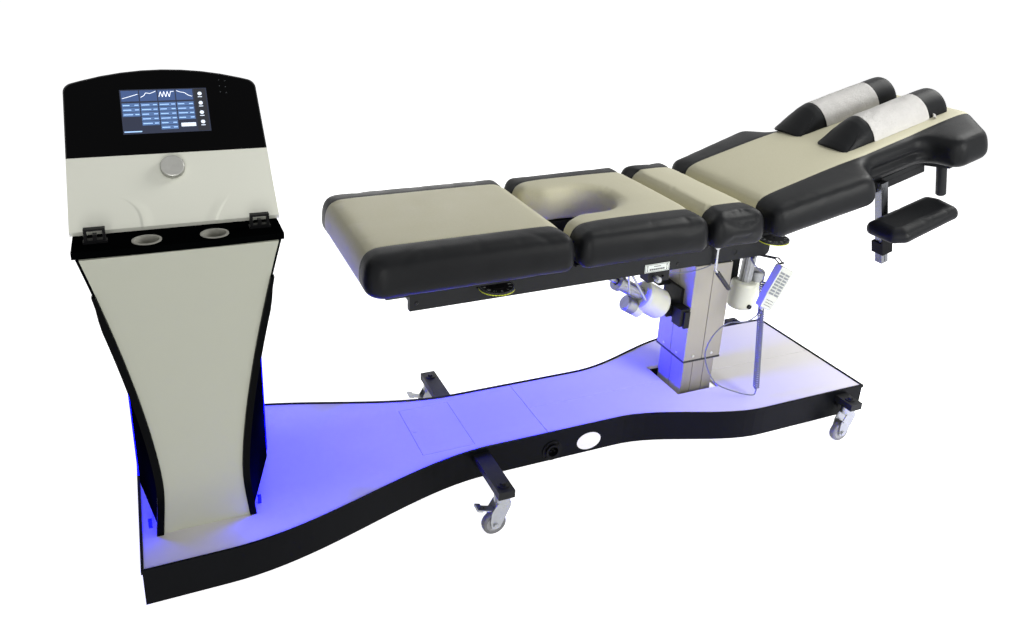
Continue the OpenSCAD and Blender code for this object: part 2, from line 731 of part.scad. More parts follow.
// Two side rails joined by cross members: the frame that tilts on the column head.
module table_rails() {
    y0 = rail_y - rail_t;
    z1 = board_z - board_t;
    slot = dial_r + 1.5;
    label_x = column_x - 349;
    release_x = column_x - 365;
    color(steel_black) {
        flexed() {
            difference() {
                mirrored_y() {
                    block(rail_x0, rail_x1 - 20, y0, rail_y, rail_z0, z1);
                    block(rail_x1 - 20, rail_x1, y0, rail_y, rail_z0 + 20, z1);
                    rod_y(rail_x1 - 20, rail_z0 + 20, y0, rail_y, 20);
                }
                rod_y(column_x, pivot_z, -rail_y - 1, rail_y + 1, 12.06);
                for (d = [[dial_leg_x, slot, dial_leg_z], [dial_back_x, slot, dial_back_z]]) {
                    block(d[0] - d[1], d[0] + d[1], -rail_y - 1, -y0 + 1, d[2] - 6.5, d[2] + 6.5);
                }
            }
            for (x = [rail_x0 + 10, column_x - 640, column_x - 380, column_x - 260]) {
                block(x, x + 30, -y0, y0, rail_z0 + 10, rail_z0 + 50);
            }
            block(column_x + 100, column_x + 130, -y0, y0, rail_z0 + 10, rail_z0 + 40);
            block(flex_pin[0] - 20, flex_pin[0] + 20, -y0, y0, rail_z0 + 12, rail_z0 + 40);
            translate([0, 0, board_z - 7]) linear_extrude(7) difference() {
                translate([pelvic_x0 + 12, -244]) square([pelvic_len - 25, 488]);
                pelvic_cut(pelvic_x0, 6);
            }
            for (y = [-rail_y, y0]) {
                block(pelvic_x0 + 12, pelvic_x1 - 13, y, y + rail_t, z1, board_z - 7);
            }
            difference() {
                block(column_x - 130, column_x - 50, -y0, y0, z1 - 52, z1 - 40);
                for (s = [-1, 1]) {
                    translate([column_x - 90, s * 100, z1 - 60]) cylinder(h = 30, r = 8.06, $fn = mid);
                }
            }
            difference() {
                block(column_x - 332, column_x - 252, -rail_y + 2, -rail_y + 48, rail_z0 - 34, rail_z0);
                rod_y(column_x - 308, rail_z0 - 17, -rail_y, -rail_y + 24, 6.06);
            }
            rod_y(column_x - 276, rail_z0 - 17, -rail_y - 6, -rail_y + 2, 4);
            block(label_x, label_x + 92, -rail_y - 1.2, -rail_y, rail_z0 + 3, rail_z0 + 31);
            dial_ear(dial_leg_x, dial_leg_z);
            dial_ear(dial_back_x, dial_back_z);
            rod_y(lever_x, lever_z, -rail_y - 16, -rail_y, 6);
            rod_y(release_x, rail_z0 + 2, -112, -80, 4);
            for (y = [-112, -84]) {
                block(release_x - 7, release_x + 7, y, y + 4, rail_z0 - 6, rail_z0 + 12);
            }
        }
        for (s = [-1, 1]) {
            block(hinge[0] - 16, hinge[0] + 16, s * 145 - 9, s * 145 + 9, hinge[2] - 44, hinge[2]);
            rod_y(hinge[0], hinge[2], s * 143 - 7, s * 143 + 7, 15.8);
            difference() {
                translate(flex_pin) block(-17, 17, s * 20 - 4, s * 20 + 4, -17, 50);
                rod_y(flex_pin[0], flex_pin[2], -40, 40, 8);
            }
        }
        rod_y(hinge[0], hinge[2], -136, 136, 10);
        rod_y(flex_pin[0], flex_pin[2], -27, 27, 8);
        block(column_x + 120, rod_base[0] + 16, 52, 60, rail_z0 + 12, rail_z0 + 36);
        difference() {
            block(rod_base[0] - 16, rod_base[0] + 16, 52, 60, rod_base[2] - 18, rail_z0 + 24);
            rod_y(rod_base[0], rod_base[2], 0, 80, 8);
        }
        rod_y(rod_base[0], rod_base[2], -56, 60, 8);
        translate(gland) cylinder(h = 12, r = 7, $fn = mid);
        for (s = [-1, 1]) {
            bar([column_x + 118 + s * 8, -162, rail_z0 + 2], hook + [s * 8 - 16, 6, 18], 2.2);
            bar(hook + [s * 8 - 16, 6, 18], hook + [s * 8, 0, 0], 2.2);
        }
        translate(hook - [12, 0, 0]) rotate([0, 90, 0]) cylinder(h = 24, r = 3.2, $fn = 24);
    }
}

// Board under the leg cushion, running on the rails.
module leg_carriage() {
    z1 = board_z - board_t;
    color(steel_black) flexed() {
        block(leg_x0 + 66, leg_x1 - 36, -244, 244, z1 + 0.3, board_z);
        for (s = [-1, 1]) {
            for (x = [leg_x0 + 174, leg_x1 - 100]) {
                block(x, x + 60, s * 139 - 10, s * 139 + 10, z1 - 22, z1 + 0.3);
            }
        }
    }
}

// Board under the lumbar cushion with two guide pins; it drops a short way.
module lumbar_plate() {
    z1 = board_z - board_t;
    color(steel_black) flexed() {
        block(lumbar_x0 + 11, lumbar_x1 - 11, -148, 148, z1 + 3, board_z);
        for (s = [-1, 1]) {
            translate([column_x - 90, s * 100, z1 - 68]) cylinder(h = 74, r = 8, $fn = mid);
        }
    }
}

// Leg cushion: long rectangular block, black sides with a pale middle stripe.
module cushion_leg() {
    w = cushion_half;
    path = [[leg_x0, -w], [leg_x1, -w], [leg_x1, w], [leg_x0, w]];
    color(vinyl_black) flexed() translate([0, 0, board_z + 0.3]) {
        cushion(rounded(path, [62, 56, 56, 62], 7), cushion_h);
    }
}

// Pelvic cushion with a deep round-ended cut-out open toward the legs.
module cushion_pelvic() {
    x0 = pelvic_x0;
    x1 = pelvic_x1;
    w = cushion_half;
    path = [[x0, -w], [x1, -w], [x1, w], [x0, w], [x0, 156], [x0 + 72, 103], [x0 + 243, 103],
        [x0 + 243, -103], [x0 + 72, -103], [x0, -156]];
    near_cap = zip_cap([for (i = [0:13]) i], [for (i = [69:-1:49]) i]);
    far_cap = flipped(zip_cap([for (i = [27:-1:14]) i], [for (i = [28:48]) i]));
    cap = concat(near_cap, far_cap, [[13, 14, 48, 49]]);
    color(vinyl_black) flexed() translate([0, 0, board_z + 0.3]) {
        cushion(rounded(path, [56, 56, 56, 56, 50, 70, 96, 96, 70, 50], 6), cushion_h, cap);
    }
}

// Narrow lumbar cushion.
module cushion_lumbar() {
    w = cushion_half;
    path = [[lumbar_x0, -w], [lumbar_x1, -w], [lumbar_x1, w], [lumbar_x0, w]];
    color(vinyl_black) flexed() translate([0, 0, board_z + 0.3]) {
        cushion(rounded(path, [52, 52, 52, 52], 7), cushion_h);
    }
}

// Back cushion: wide at the shoulders, a narrower neck for the arms, wings at the head end.
module cushion_back() {
    w = cushion_half;
    near = [[-12, -w], [372, -w - 42], [440, -neck_half], [700, -neck_half - 8], [724, -wing_half],
        [872, -wing_half + 4], [back_len, -188]];
    far = [for (i = [len(near) - 1:-1:0]) [near[i][0], -near[i][1]]];
    radii = [56, 54, 60, 46, 52, 60, 100];
    color(vinyl_black) reclined() translate([0, 0, -cushion_h]) {
        all_radii = concat(radii, [for (i = [len(radii) - 1:-1:0]) radii[i]]);
        cushion(rounded(concat(near, far), all_radii, 6), cushion_h, mirror_cap(98));
    }
}

// Board and steel under the back cushion: hinge eyes, side channels, jack lug and two hand grips.
module back_frame() {
    n1 = back_board;
    n0 = n1 - 18;
    pin = [rod_pin[0] - back_x, rod_pin[2] - back_z];
    pu = pin[0] * cos(back_slope) + pin[1] * sin(back_slope);
    pn = -pin[0] * sin(back_slope) + pin[1] * cos(back_slope);
    near = [[36, -240], [340, -268], [380, -206], [724, -206], [756, -288], [846, -284],
        [back_len - 60, -160]];
    far = [for (i = [len(near) - 1:-1:0]) [near[i][0], -near[i][1]]];
    color(steel_black) reclined() {
        translate([0, 0, n0]) linear_extrude(18) polygon(concat(near, far));
        mirrored_y() {
            block(205, 730, 190, 206.8, n0 - 26, n0);
            difference() {
                union() {
                    block(hinge_u - 15, hinge_u + 17, 106, 134, hinge_n - 15, n0 + 4);
                    block(hinge_u - 15, hinge_u + 70, 106, 134, n0 - 8, n0 + 4);
                }
                rod_y(hinge_u, hinge_n, 100, 140, 10.06);
            }
            difference() {
                block(pu - 18, pu + 18, 15, 23, pn - 16, n0);
                rod_y(pu, pn, 0, 40, 8);
            }
            translate([792, 226, n1 - 148]) cylinder(h = 146, r = 18, $fn = fine);
            translate([792, 226, n1 - 152]) cylinder(h = 5, r1 = 14, r2 = 18, $fn = fine);
            block(768, 800, 190, 240, n0 - 6, n0);
        }
        rod_y(pu, pn, -27, 27, 8);
    }
}

// half-round bolster profile at station u
function bolster_ring(u, v, w, h, z) = [for (i = [0:12]) [u, v + w / 2 * cos(15 * i), z + h * sin(15 * i)]];
// Half-round bolster with a wedge-shaped lower end.
module bolster(v) {
    color(vinyl_black) reclined() skin_rings([
        bolster_ring(424, v, 124, 10, -1.4),
        bolster_ring(428, v, 140, 17, -1.4),
        bolster_ring(478, v, 146, 48, -1.4),
        bolster_ring(520, v, 148, 70, -1.4),
        bolster_ring(548, v, 148, 79, -1.4),
        bolster_ring(880, v, 148, 80, -1.4),
        bolster_ring(903, v, 146, 77, -1.4),
        bolster_ring(911, v, 138, 70, -1.4)
    ]);
}
module bolster_near() {
    bolster(-74);
}
module bolster_far() {
    bolster(152);
}

// Hygiene paper wrapped over the middle of a bolster.
module bolster_cover(v) {
    color(paper_white) reclined() difference() {
        skin_rings([for (u = [556, 812]) bolster_ring(u, v, 152.4, 82.8, -1.3)]);
        skin_rings([for (u = [550, 820]) bolster_ring(u, v, 149.4, 82.3, -2.5)]);
    }
}
module bolster_cover_near() {
    bolster_cover(-74);
}
module bolster_cover_far() {
    bolster_cover(152);
}

// Square alloy posts that carry the arm rests, one on each side.
module arm_posts() {
    color(alloy) reclined() mirrored_y() {
        difference() {
            block(post_u - 15, post_u + 15, post_v - 15, post_v + 15, -430, back_board - 0.5);
            block(post_u - 12, post_u + 12, post_v - 12, post_v + 12, -431, -140);
            for (s = [-1, 1]) {
                block(post_u - 2, post_u + 2, post_v + s * 15 - 2, post_v + s * 15 + 2, -431, -150);
            }
        }
        translate([post_u - 28, 206.8, -148]) rotate([-90, 0, 0]) cylinder(h = 5, r = 7, $fn = 6);
    }
}

// Sliding clamp and bracket of an arm rest.
module arm_clamp(s) {
    k = post_v;
    color(deck_black) reclined() scale([1, s, 1]) {
        difference() {
            block(post_u - 23, post_u + 23, k - 23, k + 23, -388, -344);
            block(post_u - 15.3, post_u + 15.3, k - 15.3, k + 15.3, -400, -330);
            translate([post_u + 10, k, -366]) rotate([0, 90, 0]) cylinder(h = 20, r = 5.05, $fn = mid);
        }
        block(post_u - 23, post_u + 23, k + 22, k + 28, -388, -262);
        block(post_u - 80, post_u + 160, k + 22, k + 130, -268, -262.3);
    }
}
module arm_clamp_near() {
    arm_clamp(-1);
}
module arm_clamp_far() {
    arm_clamp(1);
}

// Clamping knob of an arm rest: screw and wing head on the head side of the clamp.
module arm_knob(s) {
    color([0.03, 0.03, 0.03]) reclined() translate([post_u + 17, s * post_v, -366]) rotate([0, 90, 0]) {
        cylinder(h = 14, r = 5, $fn = mid);
        translate([0, 0, 8]) cylinder(h = 14, r = 12, $fn = fine);
        translate([-17, -4, 10]) cube([34, 8, 10]);
    }
}
module arm_knob_near() {
    arm_knob(-1);
}
module arm_knob_far() {
    arm_knob(1);
}

// Padded arm rest.
module arm_pad(s) {
    path = [[400, 244], [694, 244], [710, 300], [694, 394], [440, 402], [400, 370]];
    color(vinyl_black) reclined() translate([0, 0, -262]) scale([1, s, 1]) {
        skin_rings([for (p = [[12, 0], [3, 6], [0, 20], [3, 34], [12, 44], [26, 50]])
            [for (q = inset(rounded(path, [30, 30, 60, 30, 30, 34], 4), p[0])) [q[0], q[1], p[1]]]]);
    }
}
module arm_pad_near() {
    arm_pad(-1);
}
module arm_pad_far() {
    arm_pad(1);
}

// frame of a point on a route: tangent
function heading(path, i) = unit(path[min(i + 1, len(path) - 1)] - path[max(i - 1, 0)]);
function square_to(v, t) = unit(v - (v * t) * t);
// unbroken tube along a route
module tube(path, d, sides) {
    n = len(path);
    t = [for (i = [0:n - 1]) heading(path, i)];
    first = square_to([0.3, 0.9, 0.2], t[0]);
    up = [for (i = 0, u = first; i < n; i = i + 1, u = square_to(u, t[min(i, n - 1)])) square_to(u, t[i])];
    skin_rings([for (i = [0:n - 1])
        let (w = cross(t[i], up[i]))
        [for (j = [0:sides - 1])
            path[i] + d / 2 * (up[i] * cos(360 * j / sides) + w * sin(360 * j / sides))]]);
}
// smooth route through hand-placed points
function spline(p, n) = [for (i = [0:len(p) - 2], k = [0:n - 1])
    let (
        a = p[max(i - 1, 0)],
        b = p[i],
        c = p[i + 1],
        e = p[min(i + 2, len(p) - 1)],
        t = k / n
    )
    0.5 * (2 * b + (c - a) * t + (2 * a - 5 * b + 4 * c - e) * t * t + (3 * b - a - 3 * c + e) * t * t * t)];

// Cocking lever of the drop section: bent bright rod with a black sleeve grip.
module drop_lever() {
    y = -rail_y - 12;
    color(zinc) flexed() {
        difference() {
            rod_y(lever_x, lever_z, y - 5, y + 5, 12);
            rod_y(lever_x, lever_z, y - 10, y + 10, 6.06);
        }
        translate([lever_x + 3, y, lever_z - 84]) cylinder(h = 75, r = 4.5, $fn = mid);
        translate([lever_x + 3, y, lever_z - 84]) sphere(r = 4.9, $fn = mid);
    }
    color(deck_black) flexed() translate([lever_x + 3, y, lever_z - 84]) rotate([0, 140, 0]) {
        cylinder(h = 20, r = 4.5, $fn = mid);
        rotate_extrude($fn = mid) {
            polygon([[0, 16], [7, 16], [8, 18], [8, 100], [7, 105], [4, 108], [0, 109]]);
        }
    }
}

// Release rod and lever hanging under the rails beside the tilt jack.
module release_lever() {
    x = column_x - 365;
    y = -96;
    z = rail_z0 + 2;
    color(zinc) flexed() {
        difference() {
            rod_y(x, z, y - 9, y + 9, 7.4);
            rod_y(x, z, y - 12, y + 12, 4.05);
        }
        translate([x, y + 4, z]) rotate([0, 148, 0]) {
            translate([0, 0, 7]) cylinder(h = 158, r = 4, $fn = mid);
        }
        translate([x, y - 5, z]) rotate([0, 172, 0]) {
            translate([0, 0, 7]) cylinder(h = 92, r = 3.6, $fn = mid);
        }
    }
}

// Numbered thumb dial half sunk in the rail.
module scale_dial(x, z) {
    color([0.05, 0.05, 0.05]) flexed() translate([x, dial_y, z - 4.5]) difference() {
        union() {
            cylinder(h = 9, r = dial_r, $fn = 96);
            translate([0, 0, 9]) cylinder(h = 1, r = 24, $fn = fine);
        }
        translate([0, 0, -1]) cylinder(h = 14, r = 6.06, $fn = mid);
        for (a = [0:10:350]) {
            rotate(a) translate([dial_r, 0, -1]) cylinder(h = 12, r = 1.6, $fn = 16);
        }
    }
}
module dial_leg() {
    scale_dial(dial_leg_x, dial_leg_z);
}
module dial_back() {
    scale_dial(dial_back_x, dial_back_z);
}

// Electric jack: domed motor housing, alloy tube, collar and side gear case.
module jack(cap0, cap1, cap_r, tube_z, bore_z, side) {
    difference() {
        union() {
            rotate_extrude($fn = fine) {
                polygon([[0, cap0], [cap_r - 14, cap0], [cap_r - 5, cap0 + 4], [cap_r, cap0 + 14],
                    [cap_r, cap1 - 12], [cap_r - 4, cap1 - 3], [cap_r - 12, cap1], [0, cap1]]);
            }
            cylinder(h = tube_z, r = 17, $fn = fine);
            translate([0, 0, cap1 - 4]) cylinder(h = tube_z - cap1 + 4, r = 24, $fn = fine);
            translate([0, 0, tube_z - 14]) cylinder(h = 14, r = 31, $fn = fine);
            rod_y(0, 0, -18, 18, 19);
            translate([side * 50, 0, cap1 - 30]) cylinder(h = 66, r = 29, $fn = fine);
            translate([side * 50, 0, cap1 + 36]) cylinder(h = 6, r1 = 29, r2 = 23, $fn = fine);
        }
        rod_y(0, 0, -60, 60, 8.06);
        translate([0, 0, bore_z]) cylinder(h = tube_z, r = 13.5, $fn = mid);
        for (a = [0:30:330]) {
            rotate(a) translate([25, 0, cap1 + 1]) cylinder(h = tube_z - cap1 - 16, r = 2.2, $fn = 16);
        }
    }
}
module flex_jack() {
    color([0.75, 0.75, 0.76]) translate(flex_base) rotate([0, flex_angle - 90, 0]) {
        jack(30, 138, 54, 258, 142, -1);
    }
}
module back_jack() {
    color([0.75, 0.75, 0.76]) translate(rod_base) rotate([0, rod_angle, 0]) {
        jack(-22, 84, 48, 212, 130, 1);
    }
}

// Push rod of a jack with an eye for its pin.
module push_rod(reach, l) {
    difference() {
        union() {
            translate([0, 0, reach - l]) cylinder(h = l - 8, r = 10, $fn = mid);
            rod_y(0, reach, -14, 14, 16);
        }
        rod_y(0, reach, -20, 20, 8.06);
    }
}
module flex_rod() {
    reach = norm(flex_pin - flex_base);
    color(zinc) translate(flex_base) rotate([0, flex_angle - 90, 0]) push_rod(reach, 178);
}
module back_rod() {
    reach = norm(rod_pin - rod_base);
    color(zinc) translate(rod_base) rotate([0, rod_angle, 0]) push_rod(reach, 118);
}

// Spring plunger that locks the lower sections.
module lock_knob() {
    y = -rail_y + 2;
    color(zinc) flexed() {
        rod_y(column_x - 308, rail_z0 - 17, y - 26, y - 12, 10);
        rod_y(column_x - 308, rail_z0 - 17, y - 12, y + 20, 6);
        rod_y(column_x - 308, rail_z0 - 17, y - 31, y - 26, 7);
    }
}

// handset frame: local z runs up the handset, minus y is its face
module on_handset() {
    translate(handset_at) rotate([0, handset_lean, 0]) children();
}
// Handset housing with a hanging lug at the top and a cord boss below.
module handset() {
    side = rounded([[-15, -78], [11, -78], [15, 60], [15, 78], [-15, 78]], [5, 4, 5, 4, 5], 4);
    color([0.85, 0.85, 0.84]) on_handset() {
        difference() {
            intersection() {
                translate([-31, 0, 0]) rotate([90, 0, 90]) linear_extrude(62) polygon(side);
                translate([0, 40, 0]) rotate([90, 0, 0]) linear_extrude(80) {
                    polygon(rounded([[-26, -79], [26, -79], [31, -20], [31, 79], [-31, 79], [-31, -20]],
                        [9, 9, 60, 9, 9, 60], 5));
                }
            }
            translate([-25, -15.8, -62]) cube([50, 1.2, 128]);
        }
        for (i = [0:7]) {
            for (s = [-1, 1]) {
                translate([s * 12 - 10.5, -16.2, 52 - 11 * i]) cube([21, 2.2, 7]);
            }
        }
        difference() {
            union() {
                translate([-10, 15, 58]) cube([20, 6, 20]);
                translate([-10, 21, 62]) cube([20, 4, 16]);
            }
            rotate([0, -handset_lean, 0]) translate(hook - handset_at - [20, 0, 0]) rotate([0, 90, 0]) {
                cylinder(h = 40, r = 3.8, $fn = 24);
            }
        }
        translate([0, 0, -86]) cylinder(h = 10, r = 6, $fn = mid);
    }
}

// Handset cord: short lead from the gland, curled length, then a loop up into the handset.
module handset_cord() {
    turn = 8;
    n = curls * turn;
    coil = [for (i = [0:n])
        let (
            f = i / n,
            r = curl_r * min(1, i / turn, (n - i) / turn)
        )
        [coil_top[0] + coil_drift[0] * f + r * cos(360 * i / turn),
         coil_top[1] + coil_drift[1] * f + r * sin(360 * i / turn),
         coil_top[2] - curl_pitch * i / turn]];
    end = coil[n];
    plug = handset_at - 86.5 * [sin(handset_lean), 0, cos(handset_lean)];
    start = gland - [0, 0, 1];
    lead_in = spline([start, gland - [0, 0, 8], gland + [14, -12, -32], coil_top + [2, 4, 26],
        coil_top + [0, 0, 10], coil_top], 4);
    loop = spline([end, end - [0, 0, 9], end + [-14, -2, -20], end + [-90, -4, 8], end + [-196, -4, 70],
        end + [-254, -4, 178], end + [-234, -2, 250], end + [-176, 0, 290], plug + [-52, 2, -38],
        plug + [-14, 1, -22], plug - 6 * [sin(handset_lean), 0, cos(handset_lean)], plug], 4);
    tail = [for (i = [1:len(loop) - 1]) loop[i]];
    color([0.6, 0.61, 0.66]) tube(concat(lead_in, coil, tail, [plug]), cord_d, 6);
    echo(least_gap = curl_pitch - cord_d, curl_count = curls);
}

base_frame();
base_skin();
deck_panels();
deck_hatch();
castor_fork_near_mid();
castor_fork_near_head();
castor_fork_far_mid();
castor_fork_far_head();
castor_wheel_near_mid();
castor_wheel_near_head();
castor_wheel_far_mid();
castor_wheel_far_head();
castor_brake_near();
castor_brake_far();
side_socket();
base_label();
tower_body();
tower_panel();
tower_trims();
tower_lights();
tower_shelf();
belt_buckles();
console_housing();
console_bezel();
console_screen();
console_knob();
column_lower();
column_upper();
column_seal();
column_head();
table_rails();
leg_carriage();
lumbar_plate();
cushion_leg();
cushion_pelvic();
cushion_lumbar();
back_frame();
cushion_back();
bolster_near();
bolster_far();
bolster_cover_near();
bolster_cover_far();
arm_posts();
arm_clamp_near();
arm_clamp_far();
arm_pad_near();
arm_pad_far();
arm_knob_near();
arm_knob_far();
drop_lever();
release_lever();
dial_leg();
dial_back();
flex_jack();
flex_rod();
back_jack();
back_rod();
lock_knob();
handset();
handset_cord();
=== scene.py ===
import math

import bpy
import numpy as np
from mathutils import Matrix, Vector
from mathutils.bvhtree import BVHTree


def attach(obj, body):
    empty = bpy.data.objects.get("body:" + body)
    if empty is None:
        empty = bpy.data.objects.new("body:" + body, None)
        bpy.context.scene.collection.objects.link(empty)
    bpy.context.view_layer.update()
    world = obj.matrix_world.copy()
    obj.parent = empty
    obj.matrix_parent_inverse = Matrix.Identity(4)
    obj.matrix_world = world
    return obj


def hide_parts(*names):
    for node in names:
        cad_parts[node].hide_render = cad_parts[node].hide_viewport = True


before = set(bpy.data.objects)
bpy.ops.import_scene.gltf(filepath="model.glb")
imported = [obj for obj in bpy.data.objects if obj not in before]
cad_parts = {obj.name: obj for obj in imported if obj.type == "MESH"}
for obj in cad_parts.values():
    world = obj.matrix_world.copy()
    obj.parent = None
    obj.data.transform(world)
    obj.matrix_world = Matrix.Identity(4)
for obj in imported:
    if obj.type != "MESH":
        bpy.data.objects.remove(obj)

scene = bpy.context.scene
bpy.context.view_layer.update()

# The camera stands where the photographer stood, at eye height off the tower's side of the table.
# It looks down a little, and its lens is shifted so that the whole table fits the frame.
EYE = Vector((-1.294, -2.156, 1.719))
YAW, PITCH, ROLL = 0.447, -0.350, 0.056
FOCAL_PX, FRAME_PX = 822.735, 1030
AXIS_PX = (2.373, -92.149)


def look_from(eye, yaw, pitch, roll):
    """Camera placed at eye, turned by yaw and pitch and rolled about its own axis."""
    forward = Vector((math.cos(pitch) * math.sin(yaw), math.cos(pitch) * math.cos(yaw), math.sin(pitch)))
    level = Vector((math.cos(yaw), -math.sin(yaw), 0))
    above = level.cross(forward)
    right = math.cos(roll) * level + math.sin(roll) * above
    up = -math.sin(roll) * level + math.cos(roll) * above
    turn = Matrix((right, up, -forward)).transposed().to_4x4()
    data = bpy.data.cameras.new("camera")
    data.sensor_width = 36
    data.lens = 36 * FOCAL_PX / FRAME_PX
    data.shift_x = -AXIS_PX[0] / FRAME_PX
    data.shift_y = AXIS_PX[1] / FRAME_PX
    data.clip_end = 200
    camera = bpy.data.objects.new("camera", data)
    camera.matrix_world = Matrix.Translation(eye) @ turn
    scene.collection.objects.link(camera)
    scene.camera = camera


look_from(EYE, YAW, PITCH, ROLL)
scene.view_settings.view_transform = "Standard"

# Curled handset lead: soft grey-blue PVC over thin cores, wound into fifty curls when it was made.
# It leaves a gland under the rail, hangs as a coil beside the column and swings back up in one loop.
MM = 0.001
COLUMN = 460
HANDSET_AT = np.array([COLUMN + 138, -232, 620.0])
HANDSET_LEAN = math.radians(28)
LEAD_D, CURL_R, CURLS, CURL_STEP, CURL_POINTS = 4.4, 9.6, 50, 8.4, 16


def linear(code):
    """Linear colour of a six-digit hex code."""
    tones = [int(code[i:i + 2], 16) / 255 for i in (0, 2, 4)]
    return [t / 12.92 if t <= 0.04045 else ((t + 0.055) / 1.055) ** 2.4 for t in tones]


class Finish:
    """A surface finish: its shader with its constant values, and nodes that vary it over the piece."""

    def __init__(self, name, colour, rough, metal=0.0, **constants):
        self.material = bpy.data.materials.new(name)
        self.material.use_nodes = True
        self.material.diffuse_color = (*linear(colour), 1)
        self.tree = self.material.node_tree
        self.shader = self.tree.nodes["Principled BSDF"]
        self.colour = linear(colour)
        self.shader.inputs["Base Color"].default_value = (*self.colour, 1)
        self.shader.inputs["Roughness"].default_value = rough
        self.shader.inputs["Metallic"].default_value = metal
        for socket, value in constants.items():
            self.shader.inputs[socket.replace("_", " ")].default_value = value
        self.place = self.node("TexCoord").outputs["Object"]

    def node(self, kind, plugs=None, **settings):
        """A node of the tree, with its settings and with values or links on its sockets."""
        made = self.tree.nodes.new("ShaderNode" + kind)
        for key, value in settings.items():
            setattr(made, key, value)
        for socket, value in (plugs or {}).items():
            if isinstance(value, bpy.types.NodeSocket):
                self.tree.links.new(value, made.inputs[socket])
            else:
                made.inputs[socket].default_value = value
        return made

    def maths(self, operation, a, b=0.0, clamp=False):
        """Result of one sum on values or sockets."""
        return self.node("Math", {0: a, 1: b}, operation=operation, use_clamp=clamp).outputs[0]

    def all_of(self, *amounts):
        """Product of some masks."""
        total = amounts[0]
        for amount in amounts[1:]:
            total = self.maths("MULTIPLY", total, amount)
        return total

    def above(self, value, limit):
        """1 where a value is over a limit."""
        return self.maths("GREATER_THAN", value, limit)

    def below(self, value, limit):
        """1 where a value is under a limit."""
        return self.maths("LESS_THAN", value, limit)

    def inside(self, value, low, high):
        """1 where a value lies between two limits."""
        return self.all_of(self.above(value, low), self.below(value, high))

    def from_axis(self, at):
        """Distance from the local Z axis."""
        flat = self.node("CombineXYZ", {0: at[0], 1: at[1], 2: 0.0}).outputs[0]
        return self.node("VectorMath", {0: flat}, operation="LENGTH").outputs["Value"]

    def local(self, origin, turn=0.0):
        """Distances in metres from a point in millimetres, along axes turned about Y by an angle."""
        away = self.node("Mapping", {"Vector": self.place, "Location": [-c * MM for c in origin]}).outputs[0]
        turned = self.node("Mapping", {"Vector": away, "Rotation": (0, -turn, 0)}).outputs[0]
        return self.node("SeparateXYZ", {0: turned}).outputs

    def stretched(self, scale):
        """Object coordinates stretched by a scale for each axis."""
        return self.node("Mapping", {"Vector": self.place, "Scale": scale}).outputs[0]

    def cloud(self, scale, detail=4.0, rough=0.55, where=None):
        """Soft mottle between 0 and 1, at so many blotches a metre."""
        return self.node("TexNoise", {"Vector": where or self.place, "Scale": scale, "Detail": detail,
                                      "Roughness": rough}).outputs["Fac"]

    def pebble(self, scale, where=None):
        """Rounded pebbles between 0 and 1, at so many a metre."""
        return self.node("TexVoronoi", {"Vector": where or self.place, "Scale": scale}).outputs["Distance"]

    def mottle(self, amount):
        """A socket as it is, or the cloud that a scale or a tuple of cloud settings describes."""
        if isinstance(amount, bpy.types.NodeSocket):
            return amount
        return self.cloud(*(amount if isinstance(amount, tuple) else (amount,)))

    def between(self, value, low, high, to_low=0.0, to_high=1.0):
        """A value spread from one range to another."""
        return self.node("MapRange", {"Value": value, "From Min": low, "From Max": high,
                                      "To Min": to_low, "To Max": to_high}).outputs[0]

    def blend(self, amount, first, second):
        """Colour between two colours, hex codes or sockets."""
        mixed = self.node("Mix", {"Factor": amount}, data_type="RGBA")
        for socket, value in ((mixed.inputs[6], first), (mixed.inputs[7], second)):
            if isinstance(value, bpy.types.NodeSocket):
                self.tree.links.new(value, socket)
            else:
                tone = linear(value) if isinstance(value, str) else value
                socket.default_value = (*tone, 1)
        return mixed.outputs[2]

    def plug(self, socket, value):
        """Drives one of the shader's sockets."""
        self.tree.links.new(value, self.shader.inputs[socket])

    def shade(self, amount, darker=0.9, lighter=1.06):
        """Lets the colour vary a little with a value."""
        self.plug("Base Color", self.blend(self.mottle(amount), [c * darker for c in self.colour],
                                           [min(1, c * lighter) for c in self.colour]))

    def polish(self, amount, low, high):
        """Lets the roughness vary between two values."""
        self.plug("Roughness", self.between(self.mottle(amount), 0.3, 0.7, low, high))

    def relief(self, height, depth, strength=1.0):
        """Raises the surface by a value times a depth in metres."""
        bump = self.node("Bump", {"Height": self.mottle(height), "Distance": depth, "Strength": strength})
        self.plug("Normal", bump.outputs[0])


def smooth_route(points, steps):
    """Route through given points, with so many steps between two of them."""
    p = np.array(points, float)
    route = []
    for i in range(len(p) - 1):
        a, b, c, e = p[max(i - 1, 0)], p[i], p[i + 1], p[min(i + 2, len(p) - 1)]
        for k in range(steps):
            t = k / steps
            route.append(0.5 * (2 * b + (c - a) * t + (2 * a - 5 * b + 4 * c - e) * t * t
                                + (3 * b - a - 3 * c + e) * t ** 3))
    return route + [p[-1]]


def lead_curve(name, route, diameter, finish):
    """Round lead along a route in millimetres, as one open curve in metres."""
    data = bpy.data.curves.new(name, "CURVE")
    data.dimensions = "3D"
    data.bevel_depth = diameter / 2 * MM
    data.bevel_resolution = 2
    data.use_fill_caps = True
    spline = data.splines.new("POLY")
    spline.points.add(len(route) - 1)
    for point, place in zip(spline.points, route):
        point.co = (*[c * MM for c in place], 1)
    spline.use_smooth = True
    data.materials.append(finish.material)
    lead = bpy.data.objects.new(name, data)
    scene.collection.objects.link(lead)
    return lead


